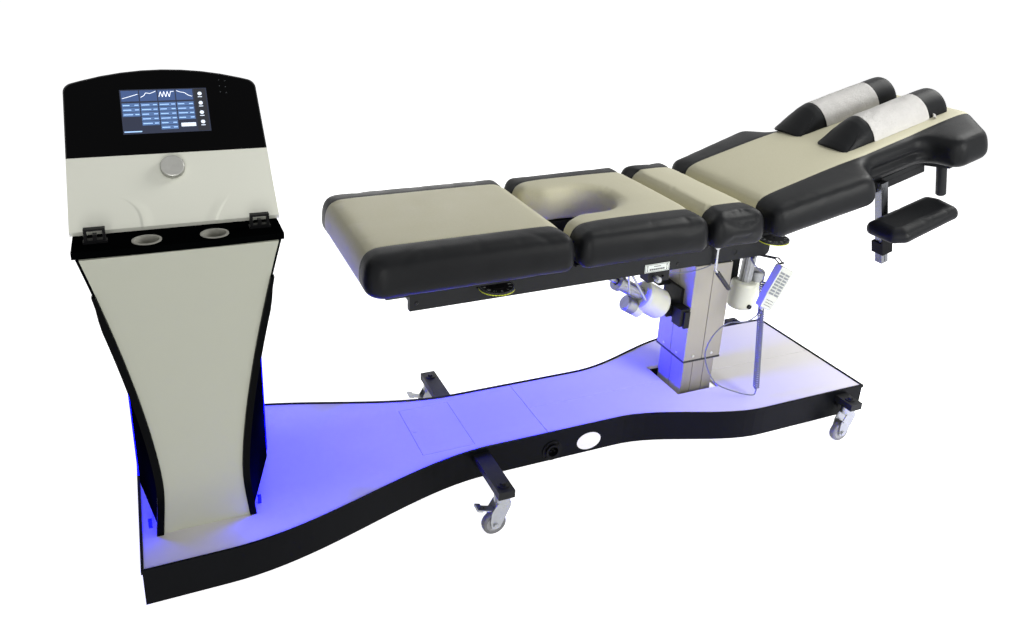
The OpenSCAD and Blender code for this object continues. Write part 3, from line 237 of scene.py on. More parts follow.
coil_top = np.array([COLUMN + 125, -192, 630.0])
gland = np.array([COLUMN + 92, -160, 705.0])
lead_start = gland - [0, 0, 1.0]
handset_axis = np.array([math.sin(HANDSET_LEAN), 0, math.cos(HANDSET_LEAN)])
coil = []
for i in range(CURLS * CURL_POINTS + 1):
    part = i / (CURLS * CURL_POINTS)
    r = CURL_R * min(1, i / CURL_POINTS, CURLS - i / CURL_POINTS)
    angle = 2 * math.pi * i / CURL_POINTS
    coil.append(coil_top + [33 * part + r * math.cos(angle), -20 * part + r * math.sin(angle),
                            -CURL_STEP * i / CURL_POINTS])
low = coil[-1]
plug_at = HANDSET_AT - 86.5 * handset_axis
lead_in = smooth_route([lead_start, gland + [0, 0, -8], gland + [14, -12, -32], coil_top + [2, 4, 26],
                        coil_top + [0, 0, 10], coil_top], 8)
loop = smooth_route([low, low + [0, 0, -9], low + [-14, -2, -20], low + [-90, -4, 8], low + [-196, -4, 70],
                     low + [-254, -4, 178], low + [-234, -2, 250], low + [-176, 0, 290],
                     plug_at + [-52, 2, -38], plug_at + [-14, 1, -22], plug_at - 6 * handset_axis,
                     plug_at], 8)
lead_route = lead_in[:-1] + coil + loop[1:]
lead_pvc = Finish("lead_pvc", "5C6072", 0.45, Coat_Weight=0.12, Coat_Roughness=0.3)
lead_pvc.shade(90, 0.88, 1.12)
lead_pvc.relief(1400, 0.0001, 0.4)
handset_lead = lead_curve("handset_lead", lead_route, LEAD_D, lead_pvc)
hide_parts("handset_cord")
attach(handset_lead, "top")


def shaded(mesh, smooth=True):
    """Shades all faces of a mesh smooth or flat."""
    mesh.polygons.foreach_set("use_smooth", [smooth] * len(mesh.polygons))


def mesh_piece(name, points, faces, finish):
    """Mesh object from points in metres."""
    mesh = bpy.data.meshes.new(name)
    mesh.from_pydata([tuple(p) for p in points], [], faces)
    shaded(mesh)
    mesh.materials.append(finish.material)
    piece = bpy.data.objects.new(name, mesh)
    scene.collection.objects.link(piece)
    return piece


def lofted(name, rings, finish):
    """Closed skin over a stack of rings of millimetre points."""
    n = len(rings[0])
    faces = [tuple(range(n))[::-1]]
    for j in range(len(rings) - 1):
        for i in range(n):
            k = (i + 1) % n
            faces.append((j * n + i, j * n + k, (j + 1) * n + k, (j + 1) * n + i))
    faces.append(tuple(range((len(rings) - 1) * n, len(rings) * n)))
    return mesh_piece(name, np.concatenate(rings) * MM, faces, finish)


def sleeve(name, route, radii, finish, sides=8):
    """Closed round skin along a route in millimetres, with its own radius at each point."""
    route = np.array(route, float)
    ahead = np.gradient(route, axis=0)
    ahead /= np.linalg.norm(ahead, axis=1)[:, None]
    side = np.cross(ahead, (0.13, 0.97, 0.2))
    side /= np.linalg.norm(side, axis=1)[:, None]
    up = np.cross(ahead, side)
    turns = [2 * math.pi * k / sides for k in range(sides)]
    rings = [p + r * np.array([s * math.cos(a) + w * math.sin(a) for a in turns])
             for p, s, w, r in zip(route, side, up, radii)]
    return lofted(name, rings, finish)


def along_route(route, start, end, count):
    """Points evenly spaced on a stretch of a route in millimetres."""
    route = np.array(route, float)
    far = np.concatenate([[0], np.cumsum(np.linalg.norm(np.diff(route, axis=0), axis=1))])
    spots = np.linspace(start, end, count)
    return np.stack([np.interp(spots, far, route[:, k]) for k in range(3)], 1)


relief_rubber = Finish("relief_rubber", "3A3D48", 0.55)
relief_rubber.shade(120, 0.85, 1.15)
relief_rubber.relief(900, 0.0001, 0.4)
BOOT_RINGS, BOOT_RIBS = 45, 6
for end, route in (("gland", lead_route), ("plug", lead_route[::-1])):
    taper = np.arange(BOOT_RINGS) / (BOOT_RINGS - 1)
    ribs = 0.45 * (np.cos(taper * 2 * math.pi * BOOT_RIBS) > 0) * (np.arange(BOOT_RINGS) > 3)
    boot = sleeve("lead_boot_" + end, along_route(route, 0.2, 22, BOOT_RINGS), 4.6 - 1.9 * taper + ribs,
                  relief_rubber, 14)
    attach(boot, "top")

# The studio: a plain pale floor that runs to the horizon, and large soft lamps round the table.
# The main lamp stands high past the head end, so the cushions shade the deck below them.
# The others stand low at the front and the back and light the upright faces.
LAMPS = (
    ((3.1, 0.1, 3.6), (0.5, 0.0, 0.8), 2.2, 124, 180),
    ((-1.5, -3.9, 1.2), (-0.4, 0.0, 0.75), 1.8, 60, 180),
    ((1.45, -2.4, 1.5), (0.9, 0.0, 0.2), 1.2, 17, 80),
    ((0.2, 3.6, 1.2), (0.0, 0.0, 0.7), 2.0, 22, 180),
)


def soft_lamp(name, place, aim, size, power, colour=(1, 1, 1), spread=180):
    """Square soft lamp that faces a point; a spread below 180 degrees is a grid in front of it."""
    data = bpy.data.lights.new(name, "AREA")
    data.shape = "SQUARE"
    data.size = size
    data.energy = power
    data.color = colour
    data.spread = math.radians(spread)
    lamp = bpy.data.objects.new(name, data)
    away = Vector(place) - Vector(aim)
    lamp.matrix_world = Matrix.Translation(place) @ away.to_track_quat("Z", "Y").to_matrix().to_4x4()
    lamp.visible_camera = False
    scene.collection.objects.link(lamp)
    return lamp


for number, (place, aim, size, power, spread) in enumerate(LAMPS):
    soft_lamp(f"studio_lamp_{number}", place, aim, size, power, (1, 1, 0.97), spread)

world = bpy.data.worlds.new("studio")
scene.world = world
world.use_nodes = True
sky = world.node_tree
ambient = sky.nodes["Background"]
ambient.inputs["Color"].default_value = (0.96, 0.97, 1, 1)
ambient.inputs["Strength"].default_value = 0.16
backdrop = sky.nodes.new("ShaderNodeBackground")
backdrop.inputs["Color"].default_value = (1, 1, 1, 1)
rays = sky.nodes.new("ShaderNodeLightPath")
seen = rays.outputs["Is Camera Ray"]
for other in ("Is Glossy Ray", "Is Transmission Ray"):
    either = sky.nodes.new("ShaderNodeMath")
    either.operation = "MAXIMUM"
    sky.links.new(seen, either.inputs[0])
    sky.links.new(rays.outputs[other], either.inputs[1])
    seen = either.outputs[0]
choose = sky.nodes.new("ShaderNodeMixShader")
sky.links.new(seen, choose.inputs[0])
sky.links.new(ambient.outputs[0], choose.inputs[1])
sky.links.new(backdrop.outputs[0], choose.inputs[2])
sky.links.new(choose.outputs[0], sky.nodes["World Output"].inputs["Surface"])

FLOOR_HALF = 60
floor_mesh = bpy.data.meshes.new("floor")
floor_mesh.from_pydata([(-FLOOR_HALF, -FLOOR_HALF, 0), (FLOOR_HALF, -FLOOR_HALF, 0),
                        (FLOOR_HALF, FLOOR_HALF, 0), (-FLOOR_HALF, FLOOR_HALF, 0)], [], [(0, 1, 2, 3)])
floor = bpy.data.objects.new("floor", floor_mesh)
scene.collection.objects.link(floor)
floor_paint = Finish("floor_paint", "F6F6F6", 0.9)
floor_paint.shader.inputs["Specular IOR Level"].default_value = 0.0
rays = floor_paint.node("LightPath")
seen = floor_paint.maths("MAXIMUM", rays.outputs["Is Camera Ray"], rays.outputs["Is Glossy Ray"])
seen = floor_paint.maths("MAXIMUM", seen, rays.outputs["Is Transmission Ray"])
floor_paint.shader.inputs["Emission Color"].default_value = (1, 1, 1, 1)
floor_paint.plug("Emission Strength", floor_paint.maths("MULTIPLY", seen, 0.9))
floor_mesh.materials.append(floor_paint.material)

# Chassis: welded steel box beams with castor arms, powder coated black, on two levelling feet.
# The white deck and the black skin hide it except for the arms, their bolts and the feet.
def cover(finish, *nodes):
    """Gives CAD nodes a finish."""
    for name in nodes:
        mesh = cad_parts[name].data
        mesh.materials.clear()
        mesh.materials.append(finish.material)


def powder_coat(name, colour, rough, texture=0.5, gloss=0.18):
    """Baked powder coat with its fine orange peel."""
    coat = Finish(name, colour, rough, Specular_IOR_Level=gloss)
    haze = coat.cloud(6, 5)
    coat.shade(haze, 0.8, 1.25)
    coat.polish(28, rough - 0.06, rough + 0.08)
    coat.relief((520, 2), 0.0002, texture)
    return coat


chassis_coat = powder_coat("chassis_coat", "121315", 0.5)
cover(chassis_coat, "base_frame")


def input_ids(tree):
    """Identifiers of a tree's inputs by name."""
    return {item.name: item.identifier for item in tree.interface.items_tree if item.in_out == "INPUT"}


def settled(piece):
    """The piece with its modifiers applied to its mesh."""
    bpy.context.view_layer.update()
    solved = bpy.data.meshes.new_from_object(piece.evaluated_get(bpy.context.evaluated_depsgraph_get()))
    piece.modifiers.clear()
    piece.data = solved
    return piece


def scattered(name, tree, spots, ways, inputs):
    """Shapes that a tree sets at spots in millimetres, turned along their ways, as one plain mesh."""
    mesh = bpy.data.meshes.new(name)
    mesh.from_pydata([tuple(c * MM for c in spot) for spot in spots], [], [])
    way = mesh.attributes.new("way", "FLOAT_VECTOR", "POINT")
    way.data.foreach_set("vector", np.array(ways, float).ravel())
    piece = bpy.data.objects.new(name, mesh)
    scene.collection.objects.link(piece)
    grow = piece.modifiers.new("set", "NODES")
    grow.node_group = tree
    ids = input_ids(tree)
    for label, value in inputs.items():
        grow[ids[label]] = value
    return settled(piece)


def placing_tree(name, sizes, axis, shape):
    """Tree that sets a shape on every spot; sizes and finish are its inputs."""
    tree = bpy.data.node_groups.new(name, "GeometryNodeTree")
    tree.interface.new_socket("Spots", in_out="INPUT", socket_type="NodeSocketGeometry")
    for label in sizes:
        tree.interface.new_socket(label, in_out="INPUT", socket_type="NodeSocketFloat")
    tree.interface.new_socket("Finish", in_out="INPUT", socket_type="NodeSocketMaterial")
    tree.interface.new_socket("Recess finish", in_out="INPUT", socket_type="NodeSocketMaterial")
    tree.interface.new_socket("Result", in_out="OUTPUT", socket_type="NodeSocketGeometry")
    entry, leave = tree.nodes.new("NodeGroupInput"), tree.nodes.new("NodeGroupOutput")

    def node(kind, plugs=None, **settings):
        made = tree.nodes.new(kind)
        for key, value in settings.items():
            setattr(made, key, value)
        for socket, value in (plugs or {}).items():
            if isinstance(value, bpy.types.NodeSocket):
                tree.links.new(value, made.inputs[socket])
            else:
                made.inputs[socket].default_value = value
        return made

    one = shape(node, entry.outputs)
    way = node("GeometryNodeInputNamedAttribute", {"Name": "way"}, data_type="FLOAT_VECTOR")
    turn = node("FunctionNodeAlignEulerToVector", {"Vector": way.outputs["Attribute"]}, axis=axis)
    many = node("GeometryNodeInstanceOnPoints", {"Points": entry.outputs["Spots"], "Instance": one,
                                                 "Rotation": turn.outputs[0]})
    plain = node("GeometryNodeRealizeInstances", {"Geometry": many.outputs[0]})
    recess = node("GeometryNodeInputNamedAttribute", {"Name": "recess"}, data_type="BOOLEAN")
    finished = node("GeometryNodeSetMaterial", {"Geometry": plain.outputs[0],
                                                "Material": entry.outputs["Finish"]})
    finished = node("GeometryNodeSetMaterial", {"Geometry": finished.outputs[0],
                                                "Selection": recess.outputs["Attribute"],
                                                "Material": entry.outputs["Recess finish"]})
    tree.links.new(finished.outputs[0], leave.inputs[0])
    return tree


def screw_shape(node, given):
    """Button head with a hexagon socket, standing on the spot."""
    head = node("GeometryNodeMeshCone", {"Vertices": 18, "Radius Bottom": given["Radius"],
                                         "Depth": given["Height"]})
    top = node("ShaderNodeMath", {0: given["Radius"], 1: 0.66}, operation="MULTIPLY")
    head.id_data.links.new(top.outputs[0], head.inputs["Radius Top"])
    across = node("ShaderNodeMath", {0: given["Radius"], 1: 0.38}, operation="MULTIPLY")
    socket = node("GeometryNodeMeshCone", {"Vertices": 6, "Radius Bottom": across.outputs[0],
                                           "Radius Top": across.outputs[0], "Depth": 0.0002})
    lift = node("ShaderNodeCombineXYZ", {2: given["Height"]})
    raised = node("GeometryNodeTransform", {"Geometry": socket.outputs["Mesh"],
                                            "Translation": lift.outputs[0]})
    marked = node("GeometryNodeStoreNamedAttribute", {"Geometry": raised.outputs[0], "Name": "recess",
                                                      "Value": True}, data_type="BOOLEAN", domain="FACE")
    both = node("GeometryNodeJoinGeometry")
    both.id_data.links.new(head.outputs["Mesh"], both.inputs[0])
    both.id_data.links.new(marked.outputs[0], both.inputs[0])
    return both.outputs[0]


screw_tree = placing_tree("screw_heads", ("Radius", "Height"), "Z", screw_shape)
socket_dark = Finish("socket_dark", "08080A", 0.6)
socket_dark.shade(300, 0.8, 1.2)
screw_black = powder_coat("screw_black", "1A1A1C", 0.38)


def screws(name, body, radius, height, finish, spots, ways):
    """Screw heads on a body, sizes in millimetres."""
    heads = scattered(name, screw_tree, spots, ways, {"Radius": radius * MM, "Height": height * MM,
                                                      "Finish": finish.material,
                                                      "Recess finish": socket_dark.material})
    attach(heads, body)
    return heads


# Side skin: black laminate bent round the base, with a proud moulding along its top edge.
# It is screwed to the chassis and is glossier than the steel.
skin_laminate = Finish("skin_laminate", "08090C", 0.4, Specular_IOR_Level=0.05)
skin_laminate.shade(5, 0.7, 1.5)
skin_laminate.polish(34, 0.28, 0.42)
skin_laminate.relief((260, 3), 0.00025, 0.3)
cover(skin_laminate, "base_skin")

# Deck: white laminate boards laid between the mouldings, with a hatch over the terminals.
# The laminate has a very fine pebble and faint scuffs from shoes.
deck_laminate = Finish("deck_laminate", "DEDBDD", 0.5, Specular_IOR_Level=0.05)
scuffs = deck_laminate.cloud(3.5, 6, 0.7, deck_laminate.stretched((1, 3, 1)))
deck_laminate.shade(scuffs, 0.95, 1.03)
deck_laminate.polish((22, 5), 0.44, 0.54)
deck_laminate.relief(deck_laminate.pebble(700), 0.00008, 0.35)
cover(deck_laminate, "deck_panels", "deck_hatch")

# Mains inlet: a black moulded socket with pins, flush in the waist of the skin.
# Its flange has four screws.
moulded_black = Finish("moulded_black", "08080A", 0.45, Specular_IOR_Level=0.08)
moulded_black.shade(60, 0.8, 1.3)
moulded_black.relief((900, 2), 0.0001, 0.4)
cover(moulded_black, "side_socket")

# Oval label: a thin white printed film, left bare here.
label_film = Finish("label_film", "EDEBEE", 0.3, Coat_Weight=0.4, Coat_Roughness=0.12)
label_film.shade(40, 0.97, 1.02)
label_film.relief(120, 0.0001, 0.3)
cover(label_film, "base_label")

# Castors: pressed forks of bright zinc on a ball race, a brake pedal behind each middle wheel.
# The wheels are grey rubber moulded on a paler core.
def zinc_plate(name, colour="A8AAAE", rough=0.3):
    """Bright zinc plating, a little cloudy and scratched along X."""
    plate = Finish(name, colour, rough, 1.0)
    plate.shade((18, 6, 0.65), 0.72, 1.05)
    plate.polish((55, 6), rough - 0.08, rough + 0.2)
    plate.relief(plate.cloud(500, 3, 0.6, plate.stretched((0.2, 1, 1))), 0.00012, 0.3)
    return plate


castor_zinc = zinc_plate("castor_zinc")
cover(castor_zinc, "castor_fork_near_mid", "castor_fork_near_head", "castor_fork_far_mid",
      "castor_fork_far_head", "castor_brake_near", "castor_brake_far")
WHEEL_TRAIL, WHEEL_R = 24, 37.5
CORE_R, HUB_R = 0.0262, 0.0142
CASTOR_MID, CASTOR_HEAD = -419, 962
for name, x in (("near_mid", CASTOR_MID), ("near_head", CASTOR_HEAD), ("far_mid", CASTOR_MID),
                ("far_head", CASTOR_HEAD)):
    tyre = Finish("tyre_" + name, "77777B", 0.6)
    along = tyre.node("Mapping", {"Vector": tyre.place,
                                  "Location": (-(x - WHEEL_TRAIL) * MM, 0, -WHEEL_R * MM)}).outputs[0]
    flat = tyre.node("VectorMath", {0: along, 1: (1, 0, 1)}, operation="MULTIPLY").outputs[0]
    radius = tyre.node("VectorMath", {0: flat}, operation="LENGTH").outputs["Value"]
    core = tyre.below(radius, CORE_R)
    hub = tyre.below(radius, HUB_R)
    rubber = tyre.blend(tyre.cloud(45, 5), "5C5C60", "7A7A7E")
    tyre.plug("Base Color", tyre.blend(hub, tyre.blend(core, rubber, "A4A4A8"), "8A8C90"))
    tyre.relief((420, 3), 0.0002, 0.5)
    cover(tyre, "castor_wheel_" + name)

# Tower: a black body of thin board with a white lacquered front, waisted like an hourglass.
# Black trims edge the front, and blue light strips shine from the flanks onto the deck.
cover(powder_coat("tower_board", "040507", 0.6, 0.2, 0.0), "tower_body")
gloss_black = Finish("gloss_black", "050607", 0.3, Specular_IOR_Level=0.03)
gloss_black.shade(8, 0.8, 1.3)
gloss_black.polish(30, 0.16, 0.28)
gloss_black.relief((160, 2), 0.00012, 0.25)
cover(gloss_black, "tower_trims")
white_lacquer = Finish("white_lacquer", "BEC0B0", 0.36, Coat_Weight=0.08, Coat_Roughness=0.25)
white_lacquer.shade((2.2, 2), 0.985, 1.01)
white_lacquer.polish((40, 5), 0.33, 0.38)
white_lacquer.relief((300, 2), 0.00009, 0.3)
cover(white_lacquer, "tower_panel")

LED_BLUE = (0.0, 0.0, 1.0)
light_strip = Finish("light_strip", "1A20FF", 0.4)
light_strip.shader.inputs["Emission Color"].default_value = (*LED_BLUE, 1)
light_strip.plug("Emission Strength", light_strip.between(light_strip.cloud(60), 0.3, 0.7, 5.0, 7.0))
cover(light_strip, "tower_lights")
TOWER_X = -1.230
soft_lamp("flank_glow", (TOWER_X + 0.225, 0.0, 0.42), (0.4, 0.0, 0.1), 0.26, 15, LED_BLUE, 64)
for number, (x, y, z, power) in enumerate((
        (0.20, -0.20, 0.205, 5), (0.20, 0.20, 0.205, 5), (0.215, 0.0, 0.32, 1.6), (0.205, -0.1, 0.62, 1.0),
        (-0.185, -0.16, 0.26, 1.0), (-0.19, 0.05, 0.3, 0.9))):
    data = bpy.data.lights.new(f"strip_glow_{number}", "POINT")
    data.shadow_soft_size = 0.02
    data.energy = power
    data.color = LED_BLUE
    glow = bpy.data.objects.new(f"strip_glow_{number}", data)
    glow.location = (TOWER_X + x, y, z)
    glow.visible_camera = False
    glow.visible_glossy = False
    scene.collection.objects.link(glow)

# Shelf: black board across the tower's top, with two pale moulded cups dropped into it.
# A black moulded buckle socket for the pelvic belts stands at each end.
SHELF_TOP, CUP_X, CUP_Y = 1003, 73, -230
CUP_R = 0.0322
shelf_finish = Finish("shelf_finish", "020303", 0.35, Specular_IOR_Level=0.0)
cup_mask = 0.0
for side in (-1, 1):
    near_cup = shelf_finish.local((TOWER_X / MM + side * CUP_X, CUP_Y, SHELF_TOP))
    radius = shelf_finish.from_axis(near_cup)
    cup_mask = shelf_finish.maths("MAXIMUM", shelf_finish.below(radius, CUP_R), cup_mask)
board = shelf_finish.blend(shelf_finish.cloud(8), "020303", "060708")
cup_shell = shelf_finish.blend(shelf_finish.cloud(60), "A5A49C", "C2C1B8")
shelf_finish.plug("Base Color", shelf_finish.blend(cup_mask, board, cup_shell))
shelf_finish.polish(30, 0.26, 0.36)
shelf_finish.relief((160, 2), 0.0001, 0.25)
cover(shelf_finish, "tower_shelf")
cover(moulded_black, "belt_buckles")

# Console: a white moulded housing with a black glossy bezel round the touch screen.
# A silver knob turns and presses in the face below it, between two moulded creases.
# The screen shows plain tiles with curves and bars, without words.
FACE = (TOWER_X / MM, -165, 1013)
FACE_SLOPE = math.radians(38.7)
on_console = (Matrix.Translation([c * MM for c in FACE])
              @ Matrix.Rotation(math.pi / 2 - FACE_SLOPE, 4, "X"))
console_shell = Finish("console_shell", "F0F1E4", 0.34, Coat_Weight=0.1, Coat_Roughness=0.2)
console_shell.polish((40, 5), 0.28, 0.4)
away = console_shell.node("Mapping", {"Vector": console_shell.place,
                                      "Location": [-c * MM for c in FACE]}).outputs[0]
face_at = console_shell.node("Mapping", {"Vector": away,
                                         "Rotation": (FACE_SLOPE - math.pi / 2, 0, 0)}).outputs[0]
face_at = console_shell.node("SeparateXYZ", {0: face_at}).outputs
rim = console_shell.all_of(console_shell.above(face_at[1], 0.183),
                           console_shell.above(face_at[2], -0.016))
moulding = console_shell.blend(console_shell.cloud(2.2, 2), "F4F5E8", "F8F9EC")
console_shell.plug("Base Color", console_shell.blend(rim, moulding, "060607"))
crease = 0.0
for foot_x, reach, top_y, power in ((-0.080, -0.046, 0.081, 3.0), (0.085, 0.038, 0.065, 1.3)):
    up = console_shell.maths("DIVIDE", face_at[1], top_y, True)
    bend = console_shell.maths("MULTIPLY", console_shell.maths("POWER", up, power), reach)
    side = console_shell.maths("SUBTRACT", face_at[0], console_shell.maths("ADD", bend, foot_x))
    if reach > 0:
        side = console_shell.maths("MULTIPLY", side, -1.0)
    step = console_shell.node("MapRange", {"Value": side, "From Min": -0.004, "From Max": 0.004},
                              interpolation_type="SMOOTHSTEP").outputs[0]
    fade = console_shell.node("MapRange", {"Value": side, "From Min": 0.03, "From Max": 0.004},
                              interpolation_type="SMOOTHSTEP").outputs[0]
    end = console_shell.between(face_at[1], top_y, top_y - 0.035)
    crease = console_shell.maths("ADD", console_shell.all_of(step, fade, end), crease)
fine_grain = console_shell.maths("MULTIPLY", console_shell.cloud(300, 2), 0.05)
console_shell.relief(console_shell.maths("ADD", crease, fine_grain), 0.0022, 1.0)
cover(console_shell, "console_housing")
bezel_gloss = Finish("bezel_gloss", "020203", 0.1, Specular_IOR_Level=0.04)
bezel_gloss.shade(12, 0.8, 1.3)
bezel_gloss.polish(20, 0.07, 0.13)
cover(bezel_gloss, "console_bezel")


def lit(name, colour, strength):
    """Glowing print on the screen."""
    glow = Finish(name, colour, 0.15)
    glow.shader.inputs["Emission Color"].default_value = (*linear(colour), 1)
    glow.plug("Emission Strength", glow.between(glow.cloud(30), 0.3, 0.7, strength * 0.92, strength))
    return glow


def printed(name, layers, thickness, place, body):
    """Thin closed prisms over flat outlines in millimetres, each layer in its own finish."""
    points, faces, finishes = [], [], []
    for index, (_, height, outlines) in enumerate(layers):
        for outline in outlines:
            n, start = len(outline), len(points)
            points += [(x * MM, y * MM, height * MM) for x, y in outline]
            points += [(x * MM, y * MM, (height + thickness) * MM) for x, y in outline]
            faces.append(tuple(range(start, start + n))[::-1])
            faces.append(tuple(range(start + n, start + 2 * n)))
            for i in range(n):
                k = (i + 1) % n
                faces.append((start + i, start + k, start + n + k, start + n + i))
            finishes += [index] * (n + 2)
    print_piece = mesh_piece(name, points, faces, layers[0][0])
    for finish, _, _ in layers[1:]:
        print_piece.data.materials.append(finish.material)
    print_piece.data.polygons.foreach_set("material_index", finishes)
    shaded(print_piece.data, False)
    print_piece.data.transform(place)
    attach(print_piece, body)
    return print_piece


def box_of(x0, y0, x1, y1):
    """Corners of an upright box."""
    return [(x0, y0), (x1, y0), (x1, y1), (x0, y1)]


def line_of(route, width):
    """Mitred strokes of a drawn line, one outline for each step."""
    strokes = []
    for (x0, y0), (x1, y1) in zip(route, route[1:]):
        long = math.hypot(x1 - x0, y1 - y0)
        dx, dy = -(y1 - y0) / long * width / 2, (x1 - x0) / long * width / 2
        strokes.append([(x0 - dx, y0 - dy), (x1 - dx, y1 - dy), (x1 + dx, y1 + dy), (x0 + dx, y0 + dy)])
    return strokes


screen_glass = lit("screen_glass", "101A33", 0.8)
cover(screen_glass, "console_screen")
tiles, heads, bars, curves, icons = [], [], [], [], []
for column in range(4):
    x0 = -97 + 41.5 * column
    heads.append(box_of(x0, 325, x0 + 39, 354))
    plots = (((2, 6), (12, 9), (22, 12), (37, 17)), ((2, 8), (10, 13), (14, 20), (24, 18), (37, 24)),
             ((2, 8), (6, 22), (10, 8), (14, 22), (18, 8), (22, 22), (26, 8), (30, 22), (37, 22)),
             ((2, 24), (10, 20), (20, 18), (28, 11), (37, 7)))
    curves += line_of([(x0 + a, 327 + b) for a, b in plots[column]], 1.5)
    rows = (3, 5, 6, 4)[column]
    for row in range(rows):
        y = 309 - 12.5 * row
        tiles.append(box_of(x0, y, x0 + 39, y + 11))
        bars.append(box_of(x0 + 2, y + 4, x0 + 17 + 3 * ((row + column) % 3), y + 6.4))
        bars.append(box_of(x0 + 28, y + 4, x0 + 37, y + 6.4))
for row in range(4):
    y = 333 - 26 * row
    icons.append([(83 + 5 * math.cos(a), y + 8 + 5 * math.sin(a)) for a in
                  (2 * math.pi * k / 12 for k in range(12))])
    icons.append(box_of(78, y - 2, 88, y))
icons.append(box_of(32, 252, 66, 262))
bars.append(box_of(-97, 242, -58, 245))
printed("screen_display", [
    (lit("screen_tile", "44618F", 0.9), 0, tiles), (lit("screen_head", "2F4775", 0.9), 0, heads),
    (lit("screen_column", "0B0F1C", 0.7), 0, [box_of(70, 239, 97, 355)]),
    (lit("screen_bar", "9CC0EE", 1.0), 0.06, bars), (lit("screen_curve", "EEF5FF", 1.0), 0.06, curves),
    (lit("screen_icon", "D9E4F4", 0.9), 0.06, icons)], 0.05,
    on_console @ Matrix.Translation((0, 0, -0.00019)), "base")
dot_grey = Finish("dot_grey", "30343A", 0.4)
dot_grey.shade(200, 0.9, 1.1)
dots = [(x, y) for x, ys in ((147, (392, 375, 358, 341)), (133, (395, 378, 361, 344))) for y in ys]
screws("bezel_dots", "base", 1.3, 0.2, dot_grey,
       [[c / MM for c in on_console @ Vector((x * MM, y * MM, 0.0002))] for x, y in dots],
       [on_console.to_3x3() @ Vector((0, 0, 1))] * len(dots))
knob_silver = Finish("knob_silver", "A3A39E", 0.34, 1.0)
knob_silver.shade((70, 5), 0.85, 1.08)
knob_silver.polish((90, 4), 0.28, 0.42)
knob_silver.relief((700, 2), 0.0001, 0.3)
cover(knob_silver, "console_knob")

# Lifting column: two nested aluminium extrusions with slots along their faces, clear anodised.
# The outer sleeve slides on the inner one; a black wiper and eight screws finish its lower end.
def drawn_alloy(name, colour, rough, along, metal=1.0):
    """Extruded aluminium, drawn along one axis."""
    alloy = Finish(name, colour, rough, metal, Anisotropic=0.5)
    streak = alloy.cloud(60, 6, 0.7, alloy.stretched(along))
    alloy.shade(streak, 0.8, 1.06)
    alloy.polish(streak, rough - 0.05, rough + 0.14)
    alloy.relief(alloy.cloud(900, 3, 0.6, alloy.stretched(along)), 0.0001, 0.3)
    return alloy


column_alloy = drawn_alloy("column_alloy", "A09C92", 0.45, (1, 1, 0.03), 0.5)
cover(column_alloy, "column_lower", "column_upper")
cover(chassis_coat, "column_head")
SEAL_TOP = 297.5
wiper = Finish("wiper", "101012", 0.5)
height = wiper.node("SeparateXYZ", {0: wiper.place}).outputs[2]
screw_part = wiper.above(height, SEAL_TOP * MM)
rubber = wiper.blend(wiper.cloud(60), "0A0A0B", "161617")
wiper.plug("Base Color", wiper.blend(screw_part, rubber, "C9C9C6"))
wiper.plug("Metallic", screw_part)
wiper.relief(700, 0.0001, 0.4)
cover(wiper, "column_seal")

# Rails and boards: black powder-coated steel and painted birch ply under the cushions.
rail_coat = powder_coat("rail_coat", "17181A", 0.46)
cover(rail_coat, "table_rails", "leg_carriage", "lumbar_plate", "back_frame")
FLEX_PIVOT = Vector((0.460, 0, 0.742))
FLEX_REST = math.radians(-0.9)
FLEX = (Matrix.Translation(FLEX_PIVOT) @ Matrix.Rotation(FLEX_REST, 4, "Y")
        @ Matrix.Translation(-FLEX_PIVOT))
RAIL_FACE = -170


def on_rail(x, z, proud):
    """Place of a print on the rail's near face, x and z in millimetres."""
    return (FLEX @ Matrix.Translation((x * MM, (RAIL_FACE - proud) * MM, z * MM))
            @ Matrix.Rotation(math.pi / 2, 4, "X"))


film_white = Finish("film_white", "D9DFDA", 0.35)
film_white.shade(70, 0.96, 1.03)
film_white.relief(500, 0.00005, 0.3)
print_black = Finish("print_black", "1C1E20", 0.45)
print_black.shade(120, 0.85, 1.15)
LABEL_W, LABEL_H = 92, 28
frame_lines = [box_of(2, 2, LABEL_W - 2, 3.2), box_of(2, LABEL_H - 3.2, LABEL_W - 2, LABEL_H - 2),
               box_of(2, 3.2, 3.2, LABEL_H - 3.2), box_of(LABEL_W - 3.2, 3.2, LABEL_W - 2, LABEL_H - 3.2)]
marks = [box_of(9, 8, 10.4, 20), box_of(LABEL_W - 10.4, 8, LABEL_W - 9, 20),
         [(6.6, 20), (12.8, 20), (9.7, 25)],
         [(LABEL_W - 12.8, 20), (LABEL_W - 6.6, 20), (LABEL_W - 9.7, 25)],
         [(6.6, 8), (9.7, 3.6), (12.8, 8)], [(LABEL_W - 12.8, 8), (LABEL_W - 9.7, 3.6), (LABEL_W - 6.6, 8)]]
marks += [box_of(18 + 7.2 * k, 6.5, 23.4 + 7.2 * k, 12) for k in range(8)]
marks += [box_of(34 + 5.2 * k, 17.5, 38 + 5.2 * k, 20.5) for k in range(5)]
printed("rail_label", [(film_white, 0, [box_of(0, 0, LABEL_W, LABEL_H)]),
                       (print_black, 0.1, frame_lines + marks)],
        0.15, on_rail(111, 715, 1.25), "top")
# Rail glint: a bright metal strip on the rail's near face, a painted highlight that stands in for a glint on
# the rail.
painted_glint = Finish("painted_glint", "DADAD6", 0.25, 1.0)
painted_glint.shade(120, 0.9, 1.05)
printed("rail_glint", [(painted_glint, 0, [[(0, 1.5), (3, 0), (45, 0), (48, 1.5), (48, 3), (45, 4.5), (3, 4.5),
                                           (0, 3)]])], 0.8, on_rail(258, 763.5, 0.02), "top")
rail_spots = [(x, RAIL_FACE, z) for x, z in ((-640, 735), (-640, 775), (-230, 775), (20, 775), (235, 730),
                                             (350, 775), (560, 770))]
flexed_spots = [[c / MM for c in FLEX @ (Vector(spot) * MM)] for spot in rail_spots]
